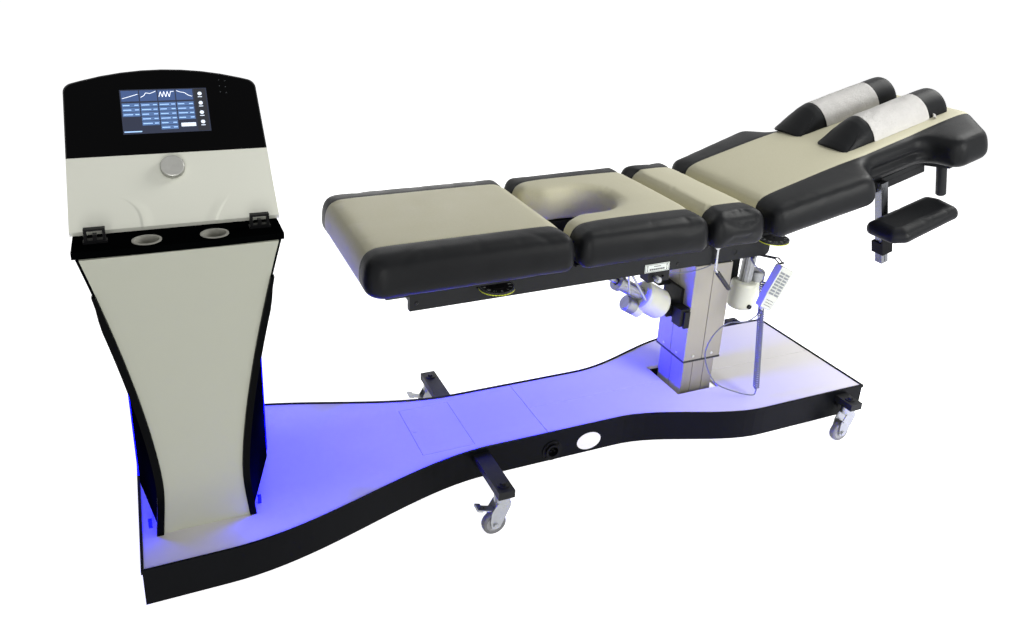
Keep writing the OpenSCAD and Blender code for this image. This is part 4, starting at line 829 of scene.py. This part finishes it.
screws("rail_screws", "top", 6, 2.2, screw_black, flexed_spots,
       [(0, -1, 0)] * len(rail_spots))

# Seat cushions: moulded foam on boards, covered in soft vinyl, black sides sewn to a pale middle.
# The foam pushes the cover into full rounded shoulders; each seam sinks in as a fine groove.
RECLINE = Matrix.Translation((0.490, 0, 0.928)) @ Matrix.Rotation(math.radians(-15.5), 4, "Y")
SEAT_Z, CUSHION_H, CUSHION_HALF = 814.3, 112, 306
SEAM_WIDTH, SEAM_DEPTH = 3.4, 1.5
SHOULDER = ((28, 0), (14, 0.04), (5, 0.11), (0, 0.2), (-2, 0.34), (-1, 0.5), (1, 0.66), (5, 0.8),
            (11, 0.9), (19, 0.965), (30, 0.99), (42, 1))


def rounded_outline(points, radii, steps):
    """Closed outline with its corners rounded, anticlockwise, in millimetres."""
    p = np.array(points, float)
    outline = []
    for i, r in enumerate(radii):
        here, before, after = p[i], p[i - 1], p[(i + 1) % len(p)]
        a = (before - here) / np.linalg.norm(before - here)
        b = (after - here) / np.linalg.norm(after - here)
        angle = math.acos(a @ b)
        start, end = here + a * r / math.tan(angle / 2), here + b * r / math.tan(angle / 2)
        middle = here + (a + b) / np.linalg.norm(a + b) * r / math.sin(angle / 2)
        sweep = math.pi - angle
        for k in range(steps + 1):
            t = k / steps
            outline.append(middle + ((start - middle) * math.sin((1 - t) * sweep)
                                     + (end - middle) * math.sin(t * sweep)) / math.sin(sweep))
    return np.array(outline)


def drawn_in(points, radii, steps, amount):
    """Rounded outline whose sides are moved inward by an amount."""
    p = np.array(points, float)
    ahead = np.roll(p, -1, 0) - p
    ahead /= np.linalg.norm(ahead, axis=1)[:, None]
    before = np.roll(ahead, 1, 0)
    inward = np.stack([-ahead[:, 1], ahead[:, 0]], 1)
    both = inward + np.roll(inward, 1, 0)
    moved = p + amount * both * 2 / (both ** 2).sum(1)[:, None]
    bend = before[:, 0] * ahead[:, 1] - before[:, 1] * ahead[:, 0]
    tighter = np.maximum(np.array(radii, float) - amount, 3)
    return rounded_outline(moved, np.where(bend > 0, tighter, np.array(radii) + amount), steps)


def vertices(piece):
    """The piece's points, in metres."""
    co = np.zeros(len(piece.data.vertices) * 3)
    piece.data.vertices.foreach_get("co", co)
    return co.reshape(-1, 3)


def set_vertices(piece, co):
    """Moves the piece's points, in metres."""
    piece.data.vertices.foreach_set("co", co.ravel())
    piece.data.update()


def edge_distance(xy, outline):
    """Distance of points from a closed outline, in its own unit."""
    nearest = np.full(len(xy), 1e9)
    for a, b in zip(outline, np.roll(outline, -1, 0)):
        d = b - a
        t = np.clip(((xy - a) @ d) / (d @ d), 0, 1)
        nearest = np.minimum(nearest, np.linalg.norm(xy - a - t[:, None] * d, axis=1))
    return nearest


def padding(piece, voxel, cap, floor_z):
    """Even mesh, swollen by the foam's pressure by no more than the cap, and flat where it lies."""
    remesh = piece.modifiers.new("even", "REMESH")
    remesh.mode = "VOXEL"
    remesh.voxel_size = voxel
    settled(piece)
    rest = vertices(piece)
    cloth = piece.modifiers.new("cover", "CLOTH")
    cloth.settings.effector_weights.gravity = 0
    cloth.settings.use_pressure = True
    cloth.settings.uniform_pressure_force = 4
    cloth.settings.quality = 4
    for frame_number in range(1, 21):
        scene.frame_set(frame_number)
    settled(piece)
    moved = vertices(piece) - rest
    length = np.linalg.norm(moved, axis=1)
    moved *= (np.minimum(length, cap) / np.maximum(length, 1e-9))[:, None]
    co = rest + moved
    co[:, 2] = np.maximum(co[:, 2], floor_z)
    set_vertices(piece, co)
    scene.frame_set(1)


def finer(piece):
    """Splits each face of the piece once more and rounds it."""
    split = piece.modifiers.new("finer", "SUBSURF")
    split.levels = split.render_levels = 1
    settled(piece)


def upholstered(name, corners, radii, height, dome, crown, stripe, finish, place,
                voxel=0.006, channel=None):
    """Foam block over rounded corners, covered and seamed, laid in place; channel is a side groove."""
    outline = rounded_outline(corners, radii, 8)
    rings = []
    for d, f in SHOULDER:
        edge = drawn_in(corners, radii, 8, d + 3)
        rings.append(np.column_stack([edge, np.full(len(edge), f * (height - 3) + 0.3)]))
    piece = lofted(name, rings, finish)
    padding(piece, voxel, 0.005, 0.0003)
    co = vertices(piece)
    inside = edge_distance(co[:, :2] / MM, outline)
    middle = 0.46 * height * MM
    if channel:
        neck = np.clip((co[:, 0] / MM - 400) / 50, 0, 1) * np.clip((750 - co[:, 0] / MM) / 50, 0, 1)
        dome = dome * (1 - 0.75 * neck)
    slump = 1 + crown - (dome + crown) * np.exp(-(inside / 46) ** 1.2)
    upper = co[:, 2] > middle
    co[:, 2] = np.where(upper, middle + (co[:, 2] - middle) * (slump * height * MM - middle)
                        / (height * MM - middle), co[:, 2])
    lifted = np.clip((co[:, 2] - 0.55 * height * MM) / (0.3 * height * MM), 0, 1)
    if stripe:
        groove = np.exp(-((np.abs(co[:, 1]) / MM - stripe) / SEAM_WIDTH) ** 2) * (co[:, 2] > 0.01)
        co[:, 2] -= groove * lifted * SEAM_DEPTH * MM
    if channel:
        u0, u1, side_y = channel
        u, v, z = co[:, 0] / MM, co[:, 1] / MM, co[:, 2] / MM / height
        run = np.clip((u - u0) / 30, 0, 1) * np.clip((u1 - u) / 30, 0, 1)
        wall = np.clip((np.abs(v) - side_y + 26) / 14, 0, 1) * run
        tuck = 13 * np.exp(-((z - 0.47) / 0.09) ** 2) - 4 * np.exp(-((z - 0.28) / 0.08) ** 2)
        co[:, 1] -= np.sign(v) * wall * tuck * MM
    set_vertices(piece, co)
    finer(piece)
    piece.data.transform(place)
    shaded(piece.data)
    return piece


def vinyl(name, stripe=None, wrinkles=0.8):
    """Black upholstery vinyl with a fine leather grain, pale between two seams."""
    cover_finish = Finish(name, "16171A", 0.38, Specular_IOR_Level=0.12)
    grain = cover_finish.pebble(850)
    soft = cover_finish.cloud(14, 5)
    black = cover_finish.blend(soft, "101113", "18191B")
    if stripe:
        across = cover_finish.node("SeparateXYZ", {0: cover_finish.place}).outputs[1]
        off = cover_finish.maths("ABSOLUTE", across)
        pale = cover_finish.blend(cover_finish.cloud(190, 4, 0.7), "C3BFA5", "D2CEB6")
        middle = cover_finish.below(off, stripe * MM)
        body = cover_finish.blend(middle, black, pale)
        gap = cover_finish.maths("ABSOLUTE", cover_finish.maths("SUBTRACT", off, stripe * MM))
        line = cover_finish.between(gap, 0.0005, 0.0014, 1, 0)
        cover_finish.plug("Base Color", cover_finish.blend(line, body, "0C0C0C"))
    else:
        cover_finish.plug("Base Color", black)
    cover_finish.polish(soft, 0.37, 0.48)
    height = cover_finish.maths("ADD", cover_finish.maths("MULTIPLY", grain, 0.8),
                                cover_finish.maths("MULTIPLY", cover_finish.cloud(60, 3), wrinkles))
    cover_finish.relief(height, 0.0003, 0.4)
    return cover_finish


def block(x0, x1):
    """Corners of a plain block across the table."""
    w = CUSHION_HALF
    return [(x0, -w), (x1, -w), (x1, w), (x0, w)]


SEAM, BACK_SEAM, STITCH_IN = 207, 195, 3
seat_vinyl = vinyl("seat_vinyl", SEAM)
on_seat = FLEX @ Matrix.Translation((0, 0, (SEAT_Z - 0.3) * MM))
leg_pad = upholstered("leg_cushion", block(-814, -200), (58, 38, 38, 58), CUSHION_H, 0.0, 0.05, SEAM,
                      seat_vinyl, on_seat, 0.007)
lumbar_pad = upholstered("lumbar_cushion", block(267, 473), (38, 38, 38, 38), CUSHION_H, 0.0, 0.05, SEAM,
                         seat_vinyl, on_seat)
X0, X1, W = -192, 261, CUSHION_HALF
pelvic_corners = [(X0, -W), (X1, -W), (X1, W), (X0, W), (X0, 156), (X0 + 72, 103), (X0 + 243, 103),
                  (X0 + 243, -103), (X0 + 72, -103), (X0, -156)]
pelvic_pad = upholstered("pelvic_cushion", pelvic_corners, (38, 38, 38, 38, 50, 70, 96, 96, 70, 50),
                         CUSHION_H, 0.0, 0.05, SEAM, seat_vinyl, on_seat)
BACK_LEN, NECK, WING = 985, 228, 360
near_side = [(-12, -W), (372, -W - 42), (440, -NECK), (700, -NECK - 8), (724, -WING), (872, -WING + 4),
             (BACK_LEN, -188)]
back_radii = (40, 54, 60, 46, 52, 60, 100)
back_vinyl = vinyl("back_vinyl", BACK_SEAM)
on_back = RECLINE @ Matrix.Translation((0, 0, -CUSHION_H * MM))
back_pad = upholstered("back_cushion", near_side + [(u, -v) for u, v in near_side[::-1]],
                       back_radii + back_radii[::-1], CUSHION_H, 0.04, 0.0, BACK_SEAM, back_vinyl,
                       on_back, 0.008, (452, 708, NECK))
for pad, node, body in ((leg_pad, "cushion_leg", "leg"), (pelvic_pad, "cushion_pelvic", "top"),
                        (lumbar_pad, "cushion_lumbar", "lumbar"), (back_pad, "cushion_back", "back")):
    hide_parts(node)
    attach(pad, body)


def stitch_shape(node, given):
    """One sewn stitch: a short rounded stroke along X."""
    bead = node("GeometryNodeMeshUVSphere", {"Segments": 6, "Rings": 4, "Radius": 0.5})
    size = node("ShaderNodeCombineXYZ", {0: given["Length"], 1: given["Thread"], 2: given["Thread"]})
    sewn = node("GeometryNodeTransform", {"Geometry": bead.outputs["Mesh"], "Scale": size.outputs[0]})
    return sewn.outputs[0]


stitch_tree = placing_tree("seam_stitches", ("Length", "Thread"), "X", stitch_shape)
thread = Finish("thread", "101012", 0.6)
thread.shade(400, 0.8, 1.3)


def stitched(name, pad, place, body, lines):
    """Rows of stitches on top of a pad, each from x0 to x1 at a y, in the pad's own millimetres."""
    into = place.inverted()
    pad.data.transform(into)
    surface = BVHTree.FromPolygons([v.co for v in pad.data.vertices], [p.vertices for p in pad.data.polygons])
    pad.data.transform(place)
    spots, ways = [], []
    for y, x0, x1 in lines:
        for x in np.arange(x0, x1, 5.0):
            hit = surface.ray_cast(Vector((x * MM, y * MM, 0.3)), Vector((0, 0, -1)))[0]
            ahead = surface.ray_cast(Vector((x * MM + 0.003, y * MM, 0.3)), Vector((0, 0, -1)))[0]
            if hit and ahead and abs(ahead.z - hit.z) < 0.003:
                spots.append([c / MM for c in place @ hit])
                ways.append((place.to_3x3() @ (ahead - hit)).normalized())
    rows = scattered(name, stitch_tree, spots, ways, {"Length": 3.4 * MM, "Thread": 0.7 * MM,
                                                      "Finish": thread.material,
                                                      "Recess finish": thread.material})
    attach(rows, body)


for name, pad, place, body, x0, x1, seam in (
        ("leg", leg_pad, on_seat, "leg", -812, -202, SEAM),
        ("pelvic", pelvic_pad, on_seat, "top", -190, 259, SEAM),
        ("lumbar", lumbar_pad, on_seat, "lumbar", 269, 471, SEAM),
        ("back", back_pad, on_back, "back", -8, 983, BACK_SEAM)):
    y = seam - STITCH_IN
    stitched("stitches_" + name, pad, place, body, [(-y, x0, x1), (y, x0, x1)])

# Head bolsters: half-round foam with a wedge at the lower end, covered in the same black vinyl.
# They shift a little on the back cushion; a welted seam runs up each side of the wedge.
BOLSTER_STATIONS = ((424, 120, 8), (426, 132, 14), (440, 141, 25), (478, 146, 48), (505, 147.5, 63),
                    (525, 148, 73), (548, 148, 79), (590, 148, 80), (720, 148, 80), (870, 148, 80),
                    (895, 147, 78.5), (906, 143, 74), (911, 136, 68))
BOLSTER_LOW = -1.4
BOLSTERS = (("near", -74), ("far", 152))


def bolster_point(u, v, angle, proud=0.0):
    """Point on a bolster at a station and an angle round its half circle."""
    stations = np.array(BOLSTER_STATIONS)
    width = np.interp(u, stations[:, 0], stations[:, 1])
    height = np.interp(u, stations[:, 0], stations[:, 2])
    return [u, v + (width / 2 + proud) * math.cos(angle),
            BOLSTER_LOW + (height + proud) * math.sin(angle)]


def bolster(name, v):
    """Bolster over the middle line v."""
    rings = []
    for u, _, _ in BOLSTER_STATIONS:
        arc = [bolster_point(u, v, math.pi * k / 28) for k in range(29)]
        under = [[u, arc[-1][1] + (arc[0][1] - arc[-1][1]) * k / 8, BOLSTER_LOW] for k in range(1, 8)]
        rings.append(np.array(arc + under))
    piece = lofted(name, rings, bolster_vinyl)
    padding(piece, 0.005, 0.0015, -1)
    piece.data.transform(RECLINE)
    finer(piece)
    shaded(piece.data)
    return piece


plain_vinyl = vinyl("plain_vinyl")
bolster_vinyl = vinyl("bolster_vinyl", None, 2.6)
for side, v in BOLSTERS:
    roll = bolster("head_bolster_" + side, v)
    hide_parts("bolster_" + side)
    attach(roll, "bolster_" + side)
    for edge, start, end in (("a", 0.10, 0.80), ("b", math.pi - 0.10, math.pi - 0.80)):
        seam = [bolster_point(428 + 82 * t, v, start + (end - start) * t, 0.6)
                for t in np.linspace(0, 1, 22)]
        piping = sleeve(f"bolster_seam_{side}_{edge}", seam, np.minimum(1.8, 0.5 + 0.25 * np.arange(22))
                        * np.minimum(1, 0.3 + 0.2 * np.arange(22)[::-1]), bolster_vinyl)
        piping.data.transform(RECLINE)
        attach(piping, "bolster_" + side)

# Hygiene covers: thin white crepe paper wrapped over the middle of each bolster and tucked under.
# The paper creases a little where hands have smoothed it; its colour is painted darker in the hollows of the
# creases, a painted shade.
cover_paper = Finish("cover_paper", "D0CECC", 0.7, Specular_IOR_Level=0.2)
crease = cover_paper.cloud(16, 6, 0.7)
# painted shade: the colour follows the crease relief, darker where the paper lies low
cover_paper.shade(crease, 0.84, 1.08)
crepe = cover_paper.maths("ADD", cover_paper.maths("MULTIPLY", crease, 4),
                          cover_paper.cloud(900, 2, 0.5, cover_paper.stretched((1, 0.3, 0.3))))
cover_paper.relief(crepe, 0.0024, 0.8)
PAPER_START, PAPER_LEN = 556, 256
for side, v in BOLSTERS:
    rng = np.random.default_rng(7 if side == "near" else 11)
    waves = [(rng.uniform(0.02, 0.09), rng.uniform(0.6, 2.4), rng.uniform(0, 6.28)) for _ in range(7)]
    columns, rows = 96, 72
    points = []
    for i in range(columns + 1):
        u = PAPER_START + PAPER_LEN * i / columns
        for k in range(rows + 1):
            angle = math.pi * (0.012 + 0.976 * k / rows)
            ripple = sum(math.sin(u * f + angle * 5 * g + h) for f, g, h in waves) / 7
            points.append(bolster_point(u, v, angle, 2.1 + 1.3 * ripple * math.sin(angle)))
    faces = [(i * (rows + 1) + k, (i + 1) * (rows + 1) + k, (i + 1) * (rows + 1) + k + 1,
              i * (rows + 1) + k + 1) for i in range(columns) for k in range(rows)]
    wrap = mesh_piece("paper_wrap_" + side, np.array(points) * MM, faces, cover_paper)
    wall = wrap.modifiers.new("thickness", "SOLIDIFY")
    wall.thickness = 0.0004
    wall.offset = 1
    settled(wrap)
    wrap.data.transform(RECLINE)
    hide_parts("bolster_cover_" + side)
    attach(wrap, "bolster_" + side)

# Care tag: a small folded white ribbon sewn into the near bolster's side, left bare here.
tag_points = []
for k in range(9):
    lift = math.sin(math.pi * k / 8)
    tag_points.append((826 + 1.6 * k, -152 - 7 * lift, 22 - 1.2 * k))
    tag_points.append((826 + 1.6 * k, -153 - 9 * lift, 6 - 0.6 * k))
tag_faces = [(2 * k, 2 * k + 1, 2 * k + 3, 2 * k + 2) for k in range(8)]
tag = mesh_piece("bolster_tag", np.array(tag_points) * MM, tag_faces, cover_paper)
fold = tag.modifiers.new("thickness", "SOLIDIFY")
fold.thickness = 0.0005
settled(tag)
tag.data.transform(RECLINE)
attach(tag, "bolster_near")

# Arm rests: black padded boards on clamps that slide on square alloy posts under the back section.
# Hand grips stand at the head end.
post_alloy = drawn_alloy("post_alloy", "84868A", 0.24, (1, 1, 0.05))
cover(post_alloy, "arm_posts")
cover(moulded_black, "arm_clamp_near", "arm_clamp_far", "arm_knob_near", "arm_knob_far")
ARM_LOW = -262
for side, s in (("near", -1), ("far", 1)):
    path = [(400, 244), (694, 244), (710, 300), (694, 394), (440, 402), (400, 370)]
    radii = (30, 30, 60, 30, 30, 34)
    rings = []
    for d, h in ((14, 0.3), (5, 3), (1, 10), (0, 18), (2, 28), (7, 36), (14, 42), (24, 46), (36, 48.5)):
        edge = drawn_in(path, radii, 6, d)
        rings.append(np.column_stack([edge, np.full(len(edge), h)]))
    pad = lofted("arm_rest_" + side, rings, plain_vinyl)
    padding(pad, 0.004, 0.002, 0.0003)
    finer(pad)
    pad.data.transform(Matrix.Translation((0, 0, ARM_LOW * MM)))
    if s < 0:
        pad.data.transform(Matrix.Scale(-1, 4, (0, 1, 0)))
        pad.data.flip_normals()
    pad.data.transform(RECLINE)
    shaded(pad.data)
    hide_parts("arm_pad_" + side)
    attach(pad, "arm_" + side)

# Levers: bright bent rods with black plastic sleeves on their handles.
# The drop lever hangs from the near rail; the release lever and the lock plunger sit below it.
LEVER_X, LEVER_Z = COLUMN - 82 + 3, 778 - 84
lever_rod = zinc_plate("lever_rod", "B4B6B8", 0.22)
lever_at = FLEX @ Vector((LEVER_X * MM, -0.182, LEVER_Z * MM))
handle = lever_rod.local([c / MM for c in lever_at], math.radians(140.9 - 180))
down = lever_rod.maths("MULTIPLY", handle[2], -1.0)
grip = lever_rod.above(down, 0.0155)
metal = lever_rod.blend(lever_rod.cloud(18, 6, 0.65), "8E9092", "CDCFD1")
rubber = lever_rod.blend(lever_rod.cloud(70), "0A0A0B", "151517")
lever_rod.plug("Base Color", lever_rod.blend(grip, metal, rubber))
lever_rod.plug("Metallic", lever_rod.maths("SUBTRACT", 1.0, grip))
cover(lever_rod, "drop_lever")
cover(castor_zinc, "release_lever", "lock_knob", "flex_rod", "back_rod")

# Bracket cable: a thin grey-blue lead that hangs in a short sag under the near rail.
# It joins the lock's bracket to the gland beside the column.
CABLE_D = 3.6
bracket_lead = lead_curve("bracket_lead", smooth_route(
    [(205, -160, 708.5), (205.4, -160, 704), (212, -161, 698), (240, -163, 692), (285, -165, 689.5),
     (330, -165, 692), (368, -163, 699), (380, -161, 706), (381, -160, 711)], 6), CABLE_D, lead_pvc)
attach(bracket_lead, "top")

# Scale dials: black knurled discs half sunk in the near rail, with white figures round the face.
# A yellow line round the rim below the figures shows the setting.
FIGURES, TICKS, FIGURE_R, TICK_R, DIAL_Y = 12, 60, 0.0395, 50, -0.194
for name, x, z in (("leg", -408, 759), ("back", 598, 778)):
    disc = Finish("dial_disc_" + name, "0C0C0D", 0.38, Specular_IOR_Level=0.35)
    centre = FLEX @ Vector((x * MM, DIAL_Y, z * MM))
    at = disc.local([c / MM for c in centre], FLEX_REST)
    radius = disc.from_axis(at)
    rim = disc.all_of(disc.above(radius, 0.0505), disc.inside(at[2], -0.0044, -0.0016))
    body = disc.blend(disc.cloud(50), "080809", "141416")
    disc.plug("Base Color", disc.blend(rim, body, "D6E02A"))
    disc.relief((900, 2), 0.00008, 0.4)
    cover(disc, "dial_" + name)
    figures = []
    for number in range(FIGURES):
        turn = 2 * math.pi * number / FIGURES
        text = bpy.data.curves.new("figure", "FONT")
        text.body = str(number)
        text.size = 0.0125
        text.align_x = "CENTER"
        text.align_y = "CENTER"
        text.extrude = 0.0001
        figure = bpy.data.objects.new("figure", text)
        scene.collection.objects.link(figure)
        bpy.context.view_layer.update()
        shape = bpy.data.meshes.new_from_object(
            figure.evaluated_get(bpy.context.evaluated_depsgraph_get()))
        bpy.data.objects.remove(figure)
        shape.transform(Matrix.Rotation(turn, 4, "Z") @ Matrix.Translation((0, -FIGURE_R, 0.0046)))
        figures.append(shape)
    points, faces = [], []
    for shape in figures:
        faces += [[i + len(points) for i in polygon.vertices] for polygon in shape.polygons]
        points += [tuple(v.co) for v in shape.vertices]
    for k in range(TICKS):
        turn = 2 * math.pi * k / TICKS
        inner = 46.5 if k % (TICKS // FIGURES) == 0 else 48
        corners = [(-0.35, -TICK_R), (0.35, -TICK_R), (0.35, -inner), (-0.35, -inner)]
        start = len(points)
        for lift in (4.5, 4.65):
            points += [((px * math.cos(turn) - py * math.sin(turn)) * MM,
                        (px * math.sin(turn) + py * math.cos(turn)) * MM, lift * MM) for px, py in corners]
        faces += [[start + i for i in (3, 2, 1, 0)], [start + i for i in (4, 5, 6, 7)]]
        faces += [[start + i, start + (i + 1) % 4, start + 4 + (i + 1) % 4, start + 4 + i] for i in range(4)]
    scale_print = mesh_piece("dial_scale_" + name, points, faces, film_white)
    shaded(scale_print.data, False)
    scale_print.data.transform(Matrix.Translation(centre) @ Matrix.Rotation(FLEX_REST, 4, "Y"))
    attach(scale_print, "dial_" + name)

# Jacks: alloy tubes with ribbed ends, each with a pale plastic cap over its motor.
# The flexion jack leans out of the column's foot side; the back jack stands on its head side.
for name, origin, lean, cap0, cap1 in (
        ("flex_jack", (COLUMN - 118, 0, 474), math.atan2(-342, 210), 29.5, 138.5),
        ("back_jack", (COLUMN + 214, 0, 452), math.atan2(22, 296), -22.5, 84.5)):
    jack = Finish(name + "_finish", "8F9092", 0.42, 1.0)
    at = jack.local(origin, lean)
    plastic = jack.inside(at[2], cap0 * MM, cap1 * MM)
    streak = jack.cloud(80, 5, 0.7)
    alloy = jack.blend(streak, "76787B", "A2A3A4")
    shell = jack.blend(jack.cloud(30), "C4C5B8", "CCCDC1")
    jack.plug("Base Color", jack.blend(plastic, alloy, shell))
    jack.plug("Metallic", jack.maths("SUBTRACT", 1.0, plastic))
    jack.relief((700, 2), 0.0001, 0.35)
    cover(jack, name)

# Handset: a pale moulded shell with two columns of grey keys, printed dashes and a plug at its lower end.
# It hooks over a bar under the rail, face to the front.
handset_shell = Finish("handset_shell", "C4C6C1", 0.45, Specular_IOR_Level=0.3)
at = handset_shell.local(HANDSET_AT, HANDSET_LEAN)
front = handset_shell.below(at[1], -0.0142)
aside = handset_shell.maths("ABSOLUTE", at[0])
key_up = handset_shell.maths("DIVIDE", handset_shell.maths("ADD", at[2], 0.025), 0.011)
key_row = handset_shell.below(handset_shell.maths("FRACT", key_up), 0.64)
key_gap = handset_shell.inside(aside, 0.0022, 0.0227)
keys = handset_shell.all_of(front, handset_shell.inside(at[2], -0.025, 0.0592), key_gap, key_row)
dash = handset_shell.maths("FRACT", handset_shell.maths("DIVIDE", at[0], 0.0071))
line_up = handset_shell.maths("DIVIDE", handset_shell.maths("ADD", at[2], 0.066), 0.0095)
line = handset_shell.maths("FRACT", line_up)
dashes = handset_shell.all_of(front, handset_shell.inside(at[2], -0.066, -0.0375),
                              handset_shell.below(aside, 0.0178),
                              handset_shell.below(dash, 0.7),
                              handset_shell.below(line, 0.3))
shell = handset_shell.blend(handset_shell.cloud(30), "BEC0BB", "C8CAC5")
shell_keys = handset_shell.blend(keys, shell, "7C8186")
handset_shell.plug("Base Color", handset_shell.blend(dashes, shell_keys, "3A3E44"))
handset_shell.relief((600, 2), 0.00008, 0.4)
cover(handset_shell, "handset")
